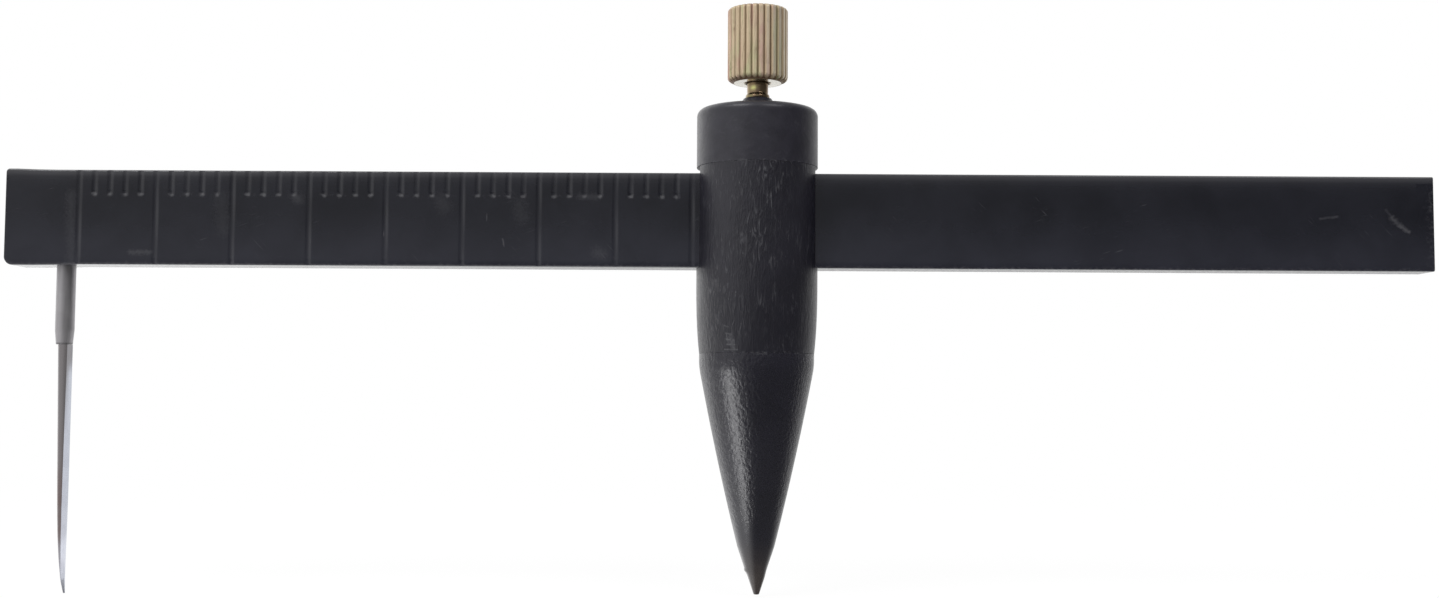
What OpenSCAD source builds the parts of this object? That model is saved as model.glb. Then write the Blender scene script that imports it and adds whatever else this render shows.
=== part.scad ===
// Clay circle cutter: a graduated beam with a blade slides through a pointed centre post,
// and a knurled screw in the head of the post clamps it at the wanted radius.
// Origin at the tip of the point, +X along the beam away from the blade, +Z up the post.

/* [Beam] */
// Length of the beam
beam_length = 186.4; // [150:0.1:320]
// Height of the beam
beam_height = 12.4; // [10:0.1:18]
// Thickness of the beam
beam_thickness = 5; // [4:0.1:6.5]
// Rounding along the beam's four long edges
beam_edge_round = 0.3; // [0.2:0.05:1]
// Rounding of the lower corner at the blade end
beam_heel_round = 1; // [0.4:0.1:3]
// Rounding of the upper corner at the blade end
beam_toe_round = 0.4; // [0.2:0.1:3]
// Distance from the blade end of the beam to the post's axis, as set in the rest pose
post_station = 98.15; // [60:0.05:130]

/* [Graduations] */
// Distance from the blade end to the first long line
first_line = 9.6; // [4:0.1:20]
// Distance between two long lines
line_step = 10; // [5:0.5:20]
// Number of long lines
line_count = 10; // [2:1:14]
// Number of short ticks between two long lines
tick_count = 4; // [1:1:9]
// Length of a short tick below the beam's top
tick_length = 3.2; // [1:0.1:6]
// Width of an engraved line
line_width = 0.45; // [0.2:0.05:0.8]
// Depth of an engraved line
line_depth = 0.25; // [0.1:0.05:0.5]

/* [Blade] */
// Distance from the blade end of the beam to the sleeve's axis
blade_inset = 7.25; // [3:0.05:14]
// Outer diameter of the sleeve that holds the blade
sleeve_d = 2.4; // [2:0.1:3.2]
// Length of the sleeve below the beam
sleeve_reach = 10.4; // [4:0.1:20]
// Length of the sleeve inside the beam
sleeve_seat = 8; // [4:0.1:9]
// Solid end of the sleeve above the blade's tang
sleeve_roof = 2; // [1:0.1:3]
// Distance from the beam's underside to the blade's tip
blade_reach = 42.7; // [30:0.1:60]
// Thickness of the blade along the beam, at its shoulder
blade_thickness = 1.65; // [1.2:0.05:2.2]
// Depth of the blade from its spine to its cutting edge
blade_depth = 1.7; // [1.4:0.1:4]
// Part of the blade's depth that lies behind the sleeve's axis
spine_depth = 0.75; // [0.6:0.05:1.5]
// Distance of the blade's tip from the sleeve's axis, along the beam
tip_shift = 0.62; // [0:0.02:1]
// Width of the small flat at the blade's tip
tip_width = 0.16; // [0.1:0.02:0.5]
// Depth of the small flat at the blade's tip
tip_depth = 0.3; // [0.1:0.05:0.6]
// Distance of the cutting edge from the sleeve's axis at the shoulder
edge_shift = 0.8; // [-0.4:0.02:0.8]
// Drift of the cutting edge from the shoulder to the tip
edge_drift = -0.42; // [-0.6:0.02:0.2]
// Diameter of the blade's tang
tang_d = 1.3; // [0.8:0.1:1.6]

/* [Post] */
// Diameter of the slotted barrel
barrel_d = 15.95; // [15:0.05:20]
// Height of the barrel below the beam
barrel_floor = 11.15; // [9:0.05:20]
// Room between the beam's top and the cap
head_room = 0.95; // [0.4:0.05:3]
// Diameter of the nose at the lower seam
nose_d = 15.1; // [12:0.1:15.5]
// Length of the nose from its tip to the lower seam
nose_length = 31.25; // [20:0.05:50]
// Straight band at the top of the nose
land_height = 1.65; // [0.5:0.05:5]
// Diameter of the flat on the tip
tip_d = 0.7; // [0.3:0.1:1.5]
// Length of the sharpened point
point_length = 6.2; // [3:0.1:9]
// Diameter at the top of the sharpened point
point_d = 4.85; // [3:0.05:6]
// Swell of the cone above a straight line
nose_belly = 0.18; // [0:0.02:0.5]
// Diameter of the nose's spigot inside the barrel
spigot_d = 9; // [5:0.1:11]
// Length of the nose's spigot inside the barrel
spigot_length = 6.5; // [3:0.1:8]
// Chamfer on both sides of a seam between two moulded pieces
seam_chamfer = 0.12; // [0.05:0.01:0.3]

/* [Cap] */
// How far the cap stands proud of the barrel, all round
cap_proud = 0.02; // [0:0.02:0.3]
// Height of the cap
cap_height = 7.8; // [6:0.1:12]
// Rounding of the cap's upper edge
cap_round = 1; // [0.4:0.1:2]
// Thickness of the cap above the threaded insert
cap_roof = 1.8; // [1:0.1:2.5]
// Least wall between an ear's tenon and the outside of the cap
cap_wall = 1.1; // [0.6:0.1:1.4]
// Width of the tenon on each ear of the barrel
tenon_width = 6; // [4:0.1:7]
// Height of the tenon on each ear of the barrel
tenon_height = 4; // [2:0.1:5]
// Height of the raised lip around the screw
lip_height = 1.5; // [0.4:0.1:2.2]
// Diameter of the lip at the cap's top
lip_base_d = 5.6; // [4.6:0.1:8]
// Diameter of the lip at its upper edge
lip_top_d = 3.7; // [3.6:0.1:4.5]

/* [Clamp screw] */
// Outer diameter of the thread
thread_d = 3; // [2.5:0.1:3.2]
// Pitch of the thread
thread_pitch = 0.5; // [0.35:0.05:0.7]
// Depth of the thread
thread_depth = 0.3; // [0.2:0.05:0.4]
// Chamfer at the end of the stud
stud_chamfer = 0.3; // [0.1:0.05:0.6]
// Diameter of the smooth neck under the knob
neck_d = 2.82; // [2:0.01:3]
// Length of the smooth neck under the knob
neck_length = 1.4; // [0.5:0.1:1.8]
// Length of the neck that is held inside the knob
neck_seat = 6; // [3:0.1:8]
// Gap between the cap's top and the knob, with the beam clamped
knob_rise = 3.6; // [2.6:0.1:8]
// Diameter of the knob
knob_d = 8; // [6:0.1:14]
// Height of the knob
knob_height = 9.9; // [9:0.1:16]
// Rounding of the knob's upper edge
knob_round = 0.45; // [0.2:0.05:1]
// Chamfer of the knob's lower edge
knob_chamfer = 0.6; // [0.2:0.05:1]
// Diameter of the recess around the neck in the knob's underside
recess_d = 3.8; // [3.4:0.1:5]
// Depth of the recess around the neck
recess_depth = 0.4; // [0.2:0.1:1]
// Number of grooves around the knob
groove_count = 28; // [16:1:40]
// Radius of a groove
groove_r = 0.22; // [0.1:0.02:0.3]

/* [Threaded insert] */
// Outer diameter of the insert
insert_d = 4.6; // [4.2:0.1:5]
// Diameter of the flange that keeps the insert from pulling out
flange_d = 5.6; // [5.2:0.1:6]
// Thickness of the flange
flange_height = 0.8; // [0.4:0.1:1.5]
// Width of the grip grooves around the insert
grip_groove = 0.5; // [0.2:0.1:0.8]
// Depth of the grip grooves around the insert
grip_depth = 0.25; // [0.1:0.05:0.4]

/* [Fits] */
// Clearance on each side of the beam in the slot
slide_gap = 0.1; // [0.05:0.01:0.3]
// Clearance around pieces that are pressed or glued together
seat_gap = 0.03; // [0.01:0.01:0.08]
// Radial clearance of the stud in the insert
thread_gap = 0.05; // [0.02:0.01:0.1]
// Radial clearance of the stud in the hole through the cap's roof
roof_gap = 0.12; // [0.05:0.01:0.3]
// Radial clearance of the knob on the stud's neck
turn_gap = 0.03; // [0.01:0.01:0.08]

/* [Hidden] */
$fn = 96;

// Overshoot of cutting tools past the faces that they cut
over = 1;
// Steps along a curved profile
curve_steps = 12;
// Steps along the blade, and around the round side of its section
blade_steps = 14;
round_steps = 5;
// Share of the outer flank's taper that is straight, and how late the rest sets in
flank_straight = 0.48;
flank_power = 8;
// How late the inner flank turns to the tip
tip_power = 16;
// Least share of the blade's thickness between the outer flank and the cutting edge
edge_margin = 0.25;
// How late the blade's depth draws in to the tip
depth_power = 6;
// Share of the spine's depth at which the bevel and the round side begin
bevel_start = 0.2;
// How early the barrel swells to its full width
swell_power = 3;
// Half the width of a thread's crest, as a share of the pitch
crest_share = 0.1;
// Number of grip grooves around the insert
grip_count = 2;
// Facets around a groove of the knob
groove_facets = 24;

// Heights up the post
seam_z = nose_length;
floor_z = seam_z + barrel_floor;
beam_top_z = floor_z + beam_height;
cap_z = beam_top_z + head_room;
cap_top_z = cap_z + cap_height;
knob_z = cap_top_z + knob_rise;
thread_top_z = knob_z - neck_length;

// Stations along the beam
beam_x = -post_station;
blade_x = beam_x + blade_inset;

// Blade and sleeve
sleeve_z = floor_z - sleeve_reach;
sleeve_length = sleeve_reach + sleeve_seat;
tang_length = sleeve_length - sleeve_roof;
blade_length = blade_reach - sleeve_reach;
edge_y = spine_depth - blade_depth;

// Slot and tenons
slot_width = beam_thickness + 2 * slide_gap;
flange_pocket_r = flange_d / 2 + seat_gap;
tenon_inner = max(slot_width / 2, flange_pocket_r) + cap_wall;
tenon_outer = sqrt(pow(barrel_d / 2 - cap_wall, 2) - pow(tenon_width / 2, 2));
tenon_thickness = tenon_outer - tenon_inner;

// Cap, insert and screw
cap_d = barrel_d + 2 * cap_proud;
insert_length = cap_height - cap_roof;
insert_bore_r = thread_d / 2 + thread_gap;
roof_hole_r = thread_d / 2 + roof_gap;
neck_r = neck_d / 2;

// Corner at the origin of a body in the positive quadrant, to be cut away to leave an arc
module corner_cut(r) {
    difference() {
        translate([-over, -over])
            square(r + over);
        translate([r, r])
            circle(r);
    }
}

// Rectangle with four round corners, centred in its width and standing on its lower side
module round_bar_section(width, height, r) {
    translate([-width / 2, r])
        square([width, height - 2 * r]);
    translate([r - width / 2, 0])
        square([width - 2 * r, height]);
    for (side = [-1, 1], level = [r, height - r])
        translate([side * (width / 2 - r), level])
            circle(r);
}

// Flat shape in X and Z, cut through the whole thickness of the beam
module through_beam() {
    rotate([90, 0, 0])
        linear_extrude(beam_thickness + 2 * over, center = true)
            children();
}

// Engraved line on the front face, from the beam's top down to a given length
module engraved_line(x, length, round_end) {
    z = beam_top_z - length;
    foot = round_end ? line_width / 2 : -over;
    y = -beam_thickness / 2;
    translate([x - line_width / 2, y - over, z + foot])
        cube([line_width, over + line_depth, length - foot + over]);
    if (round_end)
        translate([x, y + line_depth, z + foot])
            rotate([90, 0, 0])
                cylinder(d = line_width, h = line_depth + over);
}

module scale_lines() {
    for (i = [0 : line_count - 1])
        engraved_line(beam_x + first_line + i * line_step, beam_height, false);
    for (i = [0 : line_count - 2], j = [1 : tick_count])
        engraved_line(beam_x + first_line + (i + j / (tick_count + 1)) * line_step, tick_length, true);
}

module beam() {
    edge_round = min(beam_edge_round, beam_thickness / 2 - seat_gap);
    color("#2a2b30")
        difference() {
            translate([beam_x, 0, floor_z])
                rotate([90, 0, 90])
                    linear_extrude(beam_length)
                        round_bar_section(beam_thickness, beam_height, edge_round);
            through_beam()
                translate([beam_x, floor_z])
                    corner_cut(beam_heel_round);
            through_beam()
                translate([beam_x, beam_top_z])
                    mirror([0, 1])
                        corner_cut(beam_toe_round);
            scale_lines();
            translate([blade_x, 0, floor_z - over])
                cylinder(d = sleeve_d + 2 * seat_gap, h = sleeve_seat + seat_gap + over);
        }
}

module blade_sleeve() {
    color("#8f8d90")
        difference() {
            translate([blade_x, 0, sleeve_z])
                cylinder(d = sleeve_d, h = sleeve_length);
            translate([blade_x, 0, sleeve_z - over])
                cylinder(d = tang_d + 2 * seat_gap, h = tang_length + seat_gap + over);
        }
}

// Flanks and edge of the blade along X, at a share t of the way from its shoulder to its tip
function inner_flank(t) = blade_thickness / 2
    + (tip_shift + (tip_width - blade_thickness) / 2) * pow(t, tip_power);
function outer_flank(t) = -blade_thickness / 2 + (tip_shift - (tip_width - blade_thickness) / 2)
    * (flank_straight * t + (1 - flank_straight) * pow(t, flank_power));
function cutting_edge(t) = max(edge_shift + edge_drift * t,
    outer_flank(t) + edge_margin * (inner_flank(t) - outer_flank(t)));

// Share of the blade's full depth left at t, drawn in towards the point
function depth_share(t) = 1 - (1 - tip_depth / blade_depth) * pow(t, depth_power);

// Blade's section: spine, flat flank and bevel up to the cutting edge, then a quarter of an ellipse
function blade_ring(t) =
    let (z = -blade_length * t, share = depth_share(t), spine_y = spine_depth * share)
    let (left = outer_flank(t), right = inner_flank(t), edge = cutting_edge(t))
    let (bevel_y = bevel_start * spine_y, front_y = edge_y * share)
    concat(
        [[left, spine_y, z], [right, spine_y, z], [right, bevel_y, z]],
        [
            for (i = [0 : round_steps])
                let (turn = 90 * i / round_steps)
                [edge + (left - edge) * sin(turn), bevel_y + (front_y - bevel_y) * cos(turn), z]
        ]
    );

module blade_body() {
    rings = [for (i = [0 : blade_steps]) blade_ring(i / blade_steps)];
    corners = len(rings[0]);
    points = [for (ring = rings) for (p = ring) p];
    sides = [
        for (i = [0 : blade_steps - 1], j = [0 : corners - 1])
            let (a = i * corners + j, b = i * corners + (j + 1) % corners)
            each [[a, b + corners, b], [a, a + corners, b + corners]]
    ];
    first = [for (j = [1 : corners - 2]) [0, j, j + 1]];
    foot = blade_steps * corners;
    last = [for (j = [1 : corners - 2]) [foot, foot + j + 1, foot + j]];
    polyhedron(points = points, faces = concat(sides, first, last));
}

module blade() {
    color("#b9bec8")
        translate([blade_x, 0, sleeve_z]) {
            blade_body();
            cylinder(d = tang_d, h = tang_length);
        }
}

// Half profile of the barrel, swelling from the seam to the slot's floor
module barrel_profile() {
    foot_r = nose_d / 2;
    r = barrel_d / 2;
    swell = [
        for (i = [1 : curve_steps])
            let (t = i / curve_steps)
            [foot_r + (r - foot_r) * (1 - pow(1 - t, swell_power)), seam_z + seam_chamfer
                + (barrel_floor - seam_chamfer) * t]
    ];
    polygon(concat(
        [[0, seam_z], [foot_r - seam_chamfer, seam_z], [foot_r, seam_z + seam_chamfer]],
        swell,
        [[r, cap_z - seam_chamfer], [r - seam_chamfer, cap_z], [0, cap_z]]
    ));
}

// Tenon on each ear of the barrel, or the mortise for it when grown by a gap
module tenons(gap) {
    for (side = [-1, 1])
        translate([0, side * (tenon_inner + tenon_thickness / 2), cap_z - seat_gap])
            linear_extrude(tenon_height + seat_gap + gap)
                square([tenon_width + 2 * gap, tenon_thickness + 2 * gap], center = true);
}

module post_barrel() {
    color("#303036") {
        difference() {
            rotate_extrude()
                barrel_profile();
            translate([-barrel_d, -slot_width / 2, floor_z])
                cube([2 * barrel_d, slot_width, cap_z - floor_z + over]);
            translate([0, 0, seam_z - over])
                cylinder(d = spigot_d + 2 * seat_gap, h = spigot_length + seat_gap + over);
        }
        tenons(0);
    }
}

// Half profile of the nose: flat tip, sharpened point, swelling cone, straight band and spigot
module nose_profile() {
    r = nose_d / 2;
    land_z = seam_z - land_height;
    spigot_r = spigot_d / 2;
    spigot_z = seam_z + spigot_length;
    cone = [
        for (i = [0 : curve_steps])
            let (t = i / curve_steps)
            [point_d / 2 + (r - point_d / 2) * t + nose_belly * 4 * t * (1 - t),
                point_length + (land_z - point_length) * t]
    ];
    polygon(concat(
        [[0, 0], [tip_d / 2, 0]],
        cone,
        [[r, seam_z - seam_chamfer], [r - seam_chamfer, seam_z], [spigot_r, seam_z],
            [spigot_r, spigot_z - seam_chamfer], [spigot_r - seam_chamfer, spigot_z], [0, spigot_z]]
    ));
}

module point_cone() {
    color("#2c2c31")
        rotate_extrude()
            nose_profile();
}

module cap_profile() {
    r = cap_d / 2;
    difference() {
        polygon([
            [0, cap_z], [r - seam_chamfer, cap_z], [r, cap_z + seam_chamfer], [r, cap_top_z],
            [lip_base_d / 2, cap_top_z], [lip_top_d / 2, cap_top_z + lip_height],
            [0, cap_top_z + lip_height]
        ]);
        translate([r, cap_top_z])
            rotate(180)
                corner_cut(cap_round);
    }
}

module head_cap() {
    color("#34343a")
        difference() {
            rotate_extrude()
                cap_profile();
            tenons(seat_gap);
            translate([0, 0, cap_z - over])
                cylinder(d = insert_d + 2 * seat_gap, h = insert_length + seat_gap + over);
            translate([0, 0, cap_z - over])
                cylinder(r = flange_pocket_r, h = flange_height + seat_gap + over);
            translate([0, 0, cap_z])
                cylinder(r = roof_hole_r, h = cap_height + lip_height + over);
        }
}

// Grip grooves, evenly spaced above the flange
module grip_grooves() {
    pitch = (insert_length - flange_height) / (grip_count + 1);
    for (i = [1 : grip_count])
        translate([insert_d / 2 - grip_depth, cap_z + flange_height + i * pitch - grip_groove / 2])
            square([grip_depth + over, grip_groove]);
}

module threaded_insert() {
    color("#b08d45")
        rotate_extrude()
            difference() {
                union() {
                    translate([insert_bore_r, cap_z])
                        square([insert_d / 2 - insert_bore_r, insert_length]);
                    translate([insert_bore_r, cap_z])
                        square([flange_d / 2 - insert_bore_r, flange_height]);
                }
                grip_grooves();
            }
}

// Half profile of the stud: chamfered end on the beam, thread crests and roots, neck
module stud_profile() {
    r = thread_d / 2;
    first_z = beam_top_z + stud_chamfer;
    turns = floor((thread_top_z - first_z) / thread_pitch);
    thread = [
        for (i = [0 : turns - 1])
            let (z = first_z + i * thread_pitch)
            each [[r, z + crest_share * thread_pitch], [r - thread_depth, z + thread_pitch / 2],
                [r, z + (1 - crest_share) * thread_pitch]]
    ];
    neck_top_z = knob_z + neck_seat;
    polygon(concat(
        [[0, beam_top_z], [r - stud_chamfer, beam_top_z], [r, first_z]],
        thread,
        [[r, thread_top_z], [neck_r, thread_top_z + seam_chamfer], [neck_r, neck_top_z], [0, neck_top_z]]
    ));
}

module clamp_stud() {
    color("#8a6f4d")
        rotate_extrude()
            stud_profile();
}

module knob_profile() {
    r = knob_d / 2;
    top_z = knob_z + knob_height;
    difference() {
        polygon([
            [0, knob_z + recess_depth], [neck_r + turn_gap, knob_z + recess_depth], [recess_d / 2, knob_z],
            [r - knob_chamfer, knob_z], [r, knob_z + knob_chamfer], [r, top_z], [0, top_z]
        ]);
        translate([r, top_z])
            rotate(180)
                corner_cut(knob_round);
    }
}

module clamp_knob() {
    color("#b39a78")
        difference() {
            rotate_extrude()
                knob_profile();
            translate([0, 0, knob_z - over])
                cylinder(r = neck_r + turn_gap, h = neck_seat + seat_gap + over);
            for (i = [0 : groove_count - 1])
                rotate(360 * i / groove_count)
                    translate([knob_d / 2, 0, knob_z - over])
                        cylinder(r = groove_r, h = knob_height + 2 * over, $fn = groove_facets);
        }
}

beam();
blade_sleeve();
blade();
post_barrel();
point_cone();
head_cap();
threaded_insert();
clamp_stud();
clamp_knob();
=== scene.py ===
"""Looks of the clay circle cutter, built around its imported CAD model.

A graduated black beam carries a blade at one end and slides through a pointed post, and a
yellow-plated knurled screw in the post's head clamps it. Every new surface is a formula of
two parameters worked out on a grid. Sizes are in millimetres and become metres in the mesh.
"""

from __future__ import annotations

import logging
import math
from dataclasses import dataclass, field
from enum import Enum
from typing import Any, Callable

import bmesh
import bpy
import numpy as np
from mathutils import Matrix, Vector


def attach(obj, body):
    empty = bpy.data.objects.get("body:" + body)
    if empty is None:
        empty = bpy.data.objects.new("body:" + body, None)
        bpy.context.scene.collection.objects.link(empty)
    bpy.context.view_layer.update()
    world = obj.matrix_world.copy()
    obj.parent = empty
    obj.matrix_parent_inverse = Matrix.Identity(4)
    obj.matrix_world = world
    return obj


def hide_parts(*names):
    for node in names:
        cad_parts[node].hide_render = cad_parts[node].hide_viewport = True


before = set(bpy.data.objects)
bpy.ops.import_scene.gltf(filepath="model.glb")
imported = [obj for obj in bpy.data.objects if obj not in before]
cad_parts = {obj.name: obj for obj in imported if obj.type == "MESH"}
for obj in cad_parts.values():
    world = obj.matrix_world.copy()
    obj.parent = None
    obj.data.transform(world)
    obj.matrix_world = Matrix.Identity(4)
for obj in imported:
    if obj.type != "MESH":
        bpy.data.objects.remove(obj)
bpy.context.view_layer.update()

LOG = logging.getLogger("circle_cutter")
MM = 0.001
MERGE_M = 1e-7
STRAIGHT = 1.55
QUARTER = math.pi / 2.0
FULL = 2.0 * math.pi
NOISE_SPAN = (0.3, 0.7)
WHITE = (1.0, 1.0, 1.0)
MARK = "mark"

Span = tuple[float, float]
Colour = tuple[float, float, float]
Place = tuple[float, float, float]
Socket = bpy.types.NodeSocket


class Body(Enum):
    """The CAD bodies that pieces ride on."""

    POST = "post"
    BEAM = "beam_unit"
    STUD = "screw_stud"
    KNOB = "screw_knob"


def smooth_step(low: float, high: float | np.ndarray, value: np.ndarray) -> np.ndarray:
    """Gives 3 t squared minus 2 t cubed, with t running from 0 at low to 1 at high."""
    t = np.clip((value - low) / (high - low), 0.0, 1.0)
    return t * t * (3.0 - 2.0 * t)


def bell(value: np.ndarray, width: float, power: int = 2) -> np.ndarray:
    """Gives a bell curve: e to the power of minus (value over width) squared, or to another power."""
    return np.exp(-((value / width) ** power))


def sagitta(radius: float, distance: np.ndarray) -> np.ndarray:
    """Gives the cut of a rounded edge: r minus the root of r squared minus (r minus distance) squared."""
    short = np.clip(radius - distance, 0.0, radius)
    return radius - np.sqrt(radius**2 - short**2)


def rounded_path(corners: list[Place], gap: float = 0.4, steps: int = 6) -> np.ndarray:
    """Gives a path through corners, each rounded by an arc that touches both of its sides.

    The arc's centre lies on the corner's bisector, at radius over the sine of half the angle,
    and its points turn evenly from one touching point to the other.

    Args:
        corners: First coordinate, second coordinate and rounding of each corner.
        gap: Greatest distance between two points of the path.
        steps: Steps along each arc.

    Returns:
        The path's points, one row each.
    """
    places = np.array([corner[:2] for corner in corners], float)
    share = np.linspace(0.0, 1.0, steps + 1)[:, None]
    parts = [places[:1]]
    for before, corner, after, (_, _, radius) in zip(places, places[1:], places[2:], corners[1:-1]):
        back = (before - corner) / np.linalg.norm(before - corner)
        ahead = (after - corner) / np.linalg.norm(after - corner)
        half = math.acos(float(np.clip(back @ ahead, -1.0, 1.0))) / 2.0
        if radius <= 0.0 or half > STRAIGHT:
            parts.append(corner[None])
            continue
        reach = radius / math.tan(half)
        centre = corner + (back + ahead) / np.linalg.norm(back + ahead) * radius / math.sin(half)
        first, last = corner + back * reach - centre, corner + ahead * reach - centre
        turn = math.pi - 2.0 * half
        arc = np.sin((1.0 - share) * turn) * first + np.sin(share * turn) * last
        parts.append(centre + arc / math.sin(turn))
    path = np.concatenate([*parts, places[-1:]])
    along = np.concatenate([[0.0], np.cumsum(np.linalg.norm(np.diff(path, axis=0), axis=1))])
    stops = np.unique(np.round(np.concatenate([along, np.arange(0.0, along[-1], gap)]), 4))
    return np.column_stack([np.interp(stops, along, path[:, i]) for i in (0, 1)])


def lattice(x: np.ndarray, y: np.ndarray, z: np.ndarray | float) -> np.ndarray:
    """Joins X, Y and Z into a grid of points, each spread over the shape that they share."""
    return np.stack(np.broadcast_arrays(x, y, z), axis=-1)


def around(radius: np.ndarray, angle: np.ndarray, height: np.ndarray, x: float = 0.0) -> np.ndarray:
    """Places points about an upright axis at x: x + r cos a, r sin a and the height."""
    return lattice(x + radius * np.cos(angle), radius * np.sin(angle), height)


def revolve(path: np.ndarray, steps: int, x: float = 0.0) -> np.ndarray:
    """Turns a path of radius and height about an upright axis at x, in that many columns."""
    return around(path[:, :1], np.linspace(0.0, FULL, steps, endpoint=False), path[:, 1:], x)


def stand(name: str, data: bpy.types.ID) -> bpy.types.Object:
    """Makes an object in the scene for a mesh, a lamp or a camera.

    Args:
        name: The object's name.
        data: What it shows.

    Returns:
        The new object, at the origin.
    """
    made = bpy.data.objects.new(name, data)
    bpy.context.scene.collection.objects.link(made)
    return made


@dataclass
class Shell:
    """Grids of points, in millimetres, that are joined into one closed mesh."""

    points: list[np.ndarray] = field(default_factory=list)
    marks: list[np.ndarray] = field(default_factory=list)
    faces: list[list[int]] = field(default_factory=list)
    count: int = 0

    def keep(self, points: np.ndarray, mark: np.ndarray | float) -> None:
        """Stores a grid's points and marks as flat rows.

        Args:
            points: The points.
            mark: A number for each point, or one for all, which a finish reads.
        """
        flat = points.reshape(-1, 3)
        self.points.append(flat)
        self.marks.append(np.broadcast_to(mark, points.shape[:-1]).ravel())
        self.count += len(flat)

    def grid(
            self, points: np.ndarray, mark: np.ndarray | float = 0.0, turn: bool = False,
            loop: bool = False) -> None:
        """Adds a grid of points as quads.

        Args:
            points: Rows and columns of points.
            mark: A number for each point, or one for all, which a finish reads.
            turn: Joins the last column to the first.
            loop: Joins the last row to the first.
        """
        index = self.count + np.arange(points.shape[0] * points.shape[1]).reshape(points.shape[:2])
        index = np.hstack([index, index[:, :1]]) if turn else index
        index = np.vstack([index, index[:1]]) if loop else index
        quads = np.stack([index[:-1, :-1], index[:-1, 1:], index[1:, 1:], index[1:, :-1]], axis=-1)
        self.faces += quads.reshape(-1, 4).tolist()
        self.keep(points, mark)

    def lid(self, ring: np.ndarray, mark: np.ndarray | float = 0.0) -> None:
        """Closes a ring of points with triangles about its middle.

        Args:
            ring: The ring's points, in order.
            mark: A number for each point, or one for all.
        """
        index = self.count + np.arange(len(ring))
        middle = np.full(len(ring), self.count + len(ring))
        self.faces += np.stack([index, np.roll(index, -1), middle], axis=-1).tolist()
        self.keep(ring, mark)
        self.keep(ring.mean(axis=0)[None], np.mean(mark))

    def piece(self, name: str, sharp: float = 35.0) -> bpy.types.Object:
        """Makes the mesh, joins what coincides, and turns its faces outwards.

        Args:
            name: The piece's name.
            sharp: Angle between two faces, in degrees, from which their edge stays sharp.

        Returns:
            The new object, at the origin.
        """
        mesh = bpy.data.meshes.new(name)
        mesh.from_pydata((np.concatenate(self.points) * MM).tolist(), [], self.faces)
        attribute = mesh.attributes.new(MARK, "FLOAT", "POINT")
        attribute.data.foreach_set("value", np.concatenate(self.marks).astype(np.float32))
        work = bmesh.new()
        work.from_mesh(mesh)
        bmesh.ops.remove_doubles(work, verts=work.verts, dist=MERGE_M)
        bmesh.ops.recalc_face_normals(work, faces=work.faces)
        work.to_mesh(mesh)
        work.free()
        mesh.shade_smooth()
        mesh.set_sharp_from_angle(angle=math.radians(sharp))
        return stand(name, mesh)


def soften(piece: bpy.types.Object, width: float, segments: int = 2, angle: float = 40.0) -> None:
    """Rounds the sharp edges of a piece with a bevel.

    Args:
        piece: The piece.
        width: Width of the rounding.
        segments: Faces across it.
        angle: Least angle of an edge that is rounded, in degrees.
    """
    bevel = piece.modifiers.new("soft_edges", "BEVEL")
    bevel.width, bevel.segments = width * MM, segments
    bevel.limit_method, bevel.angle_limit = "ANGLE", math.radians(angle)
    bevel.harden_normals = True


def opaque(colour: Any) -> Any:
    """Adds full opacity to a colour, and gives a socket back as it is."""
    return (*colour, 1.0) if isinstance(colour, tuple) else colour


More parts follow.
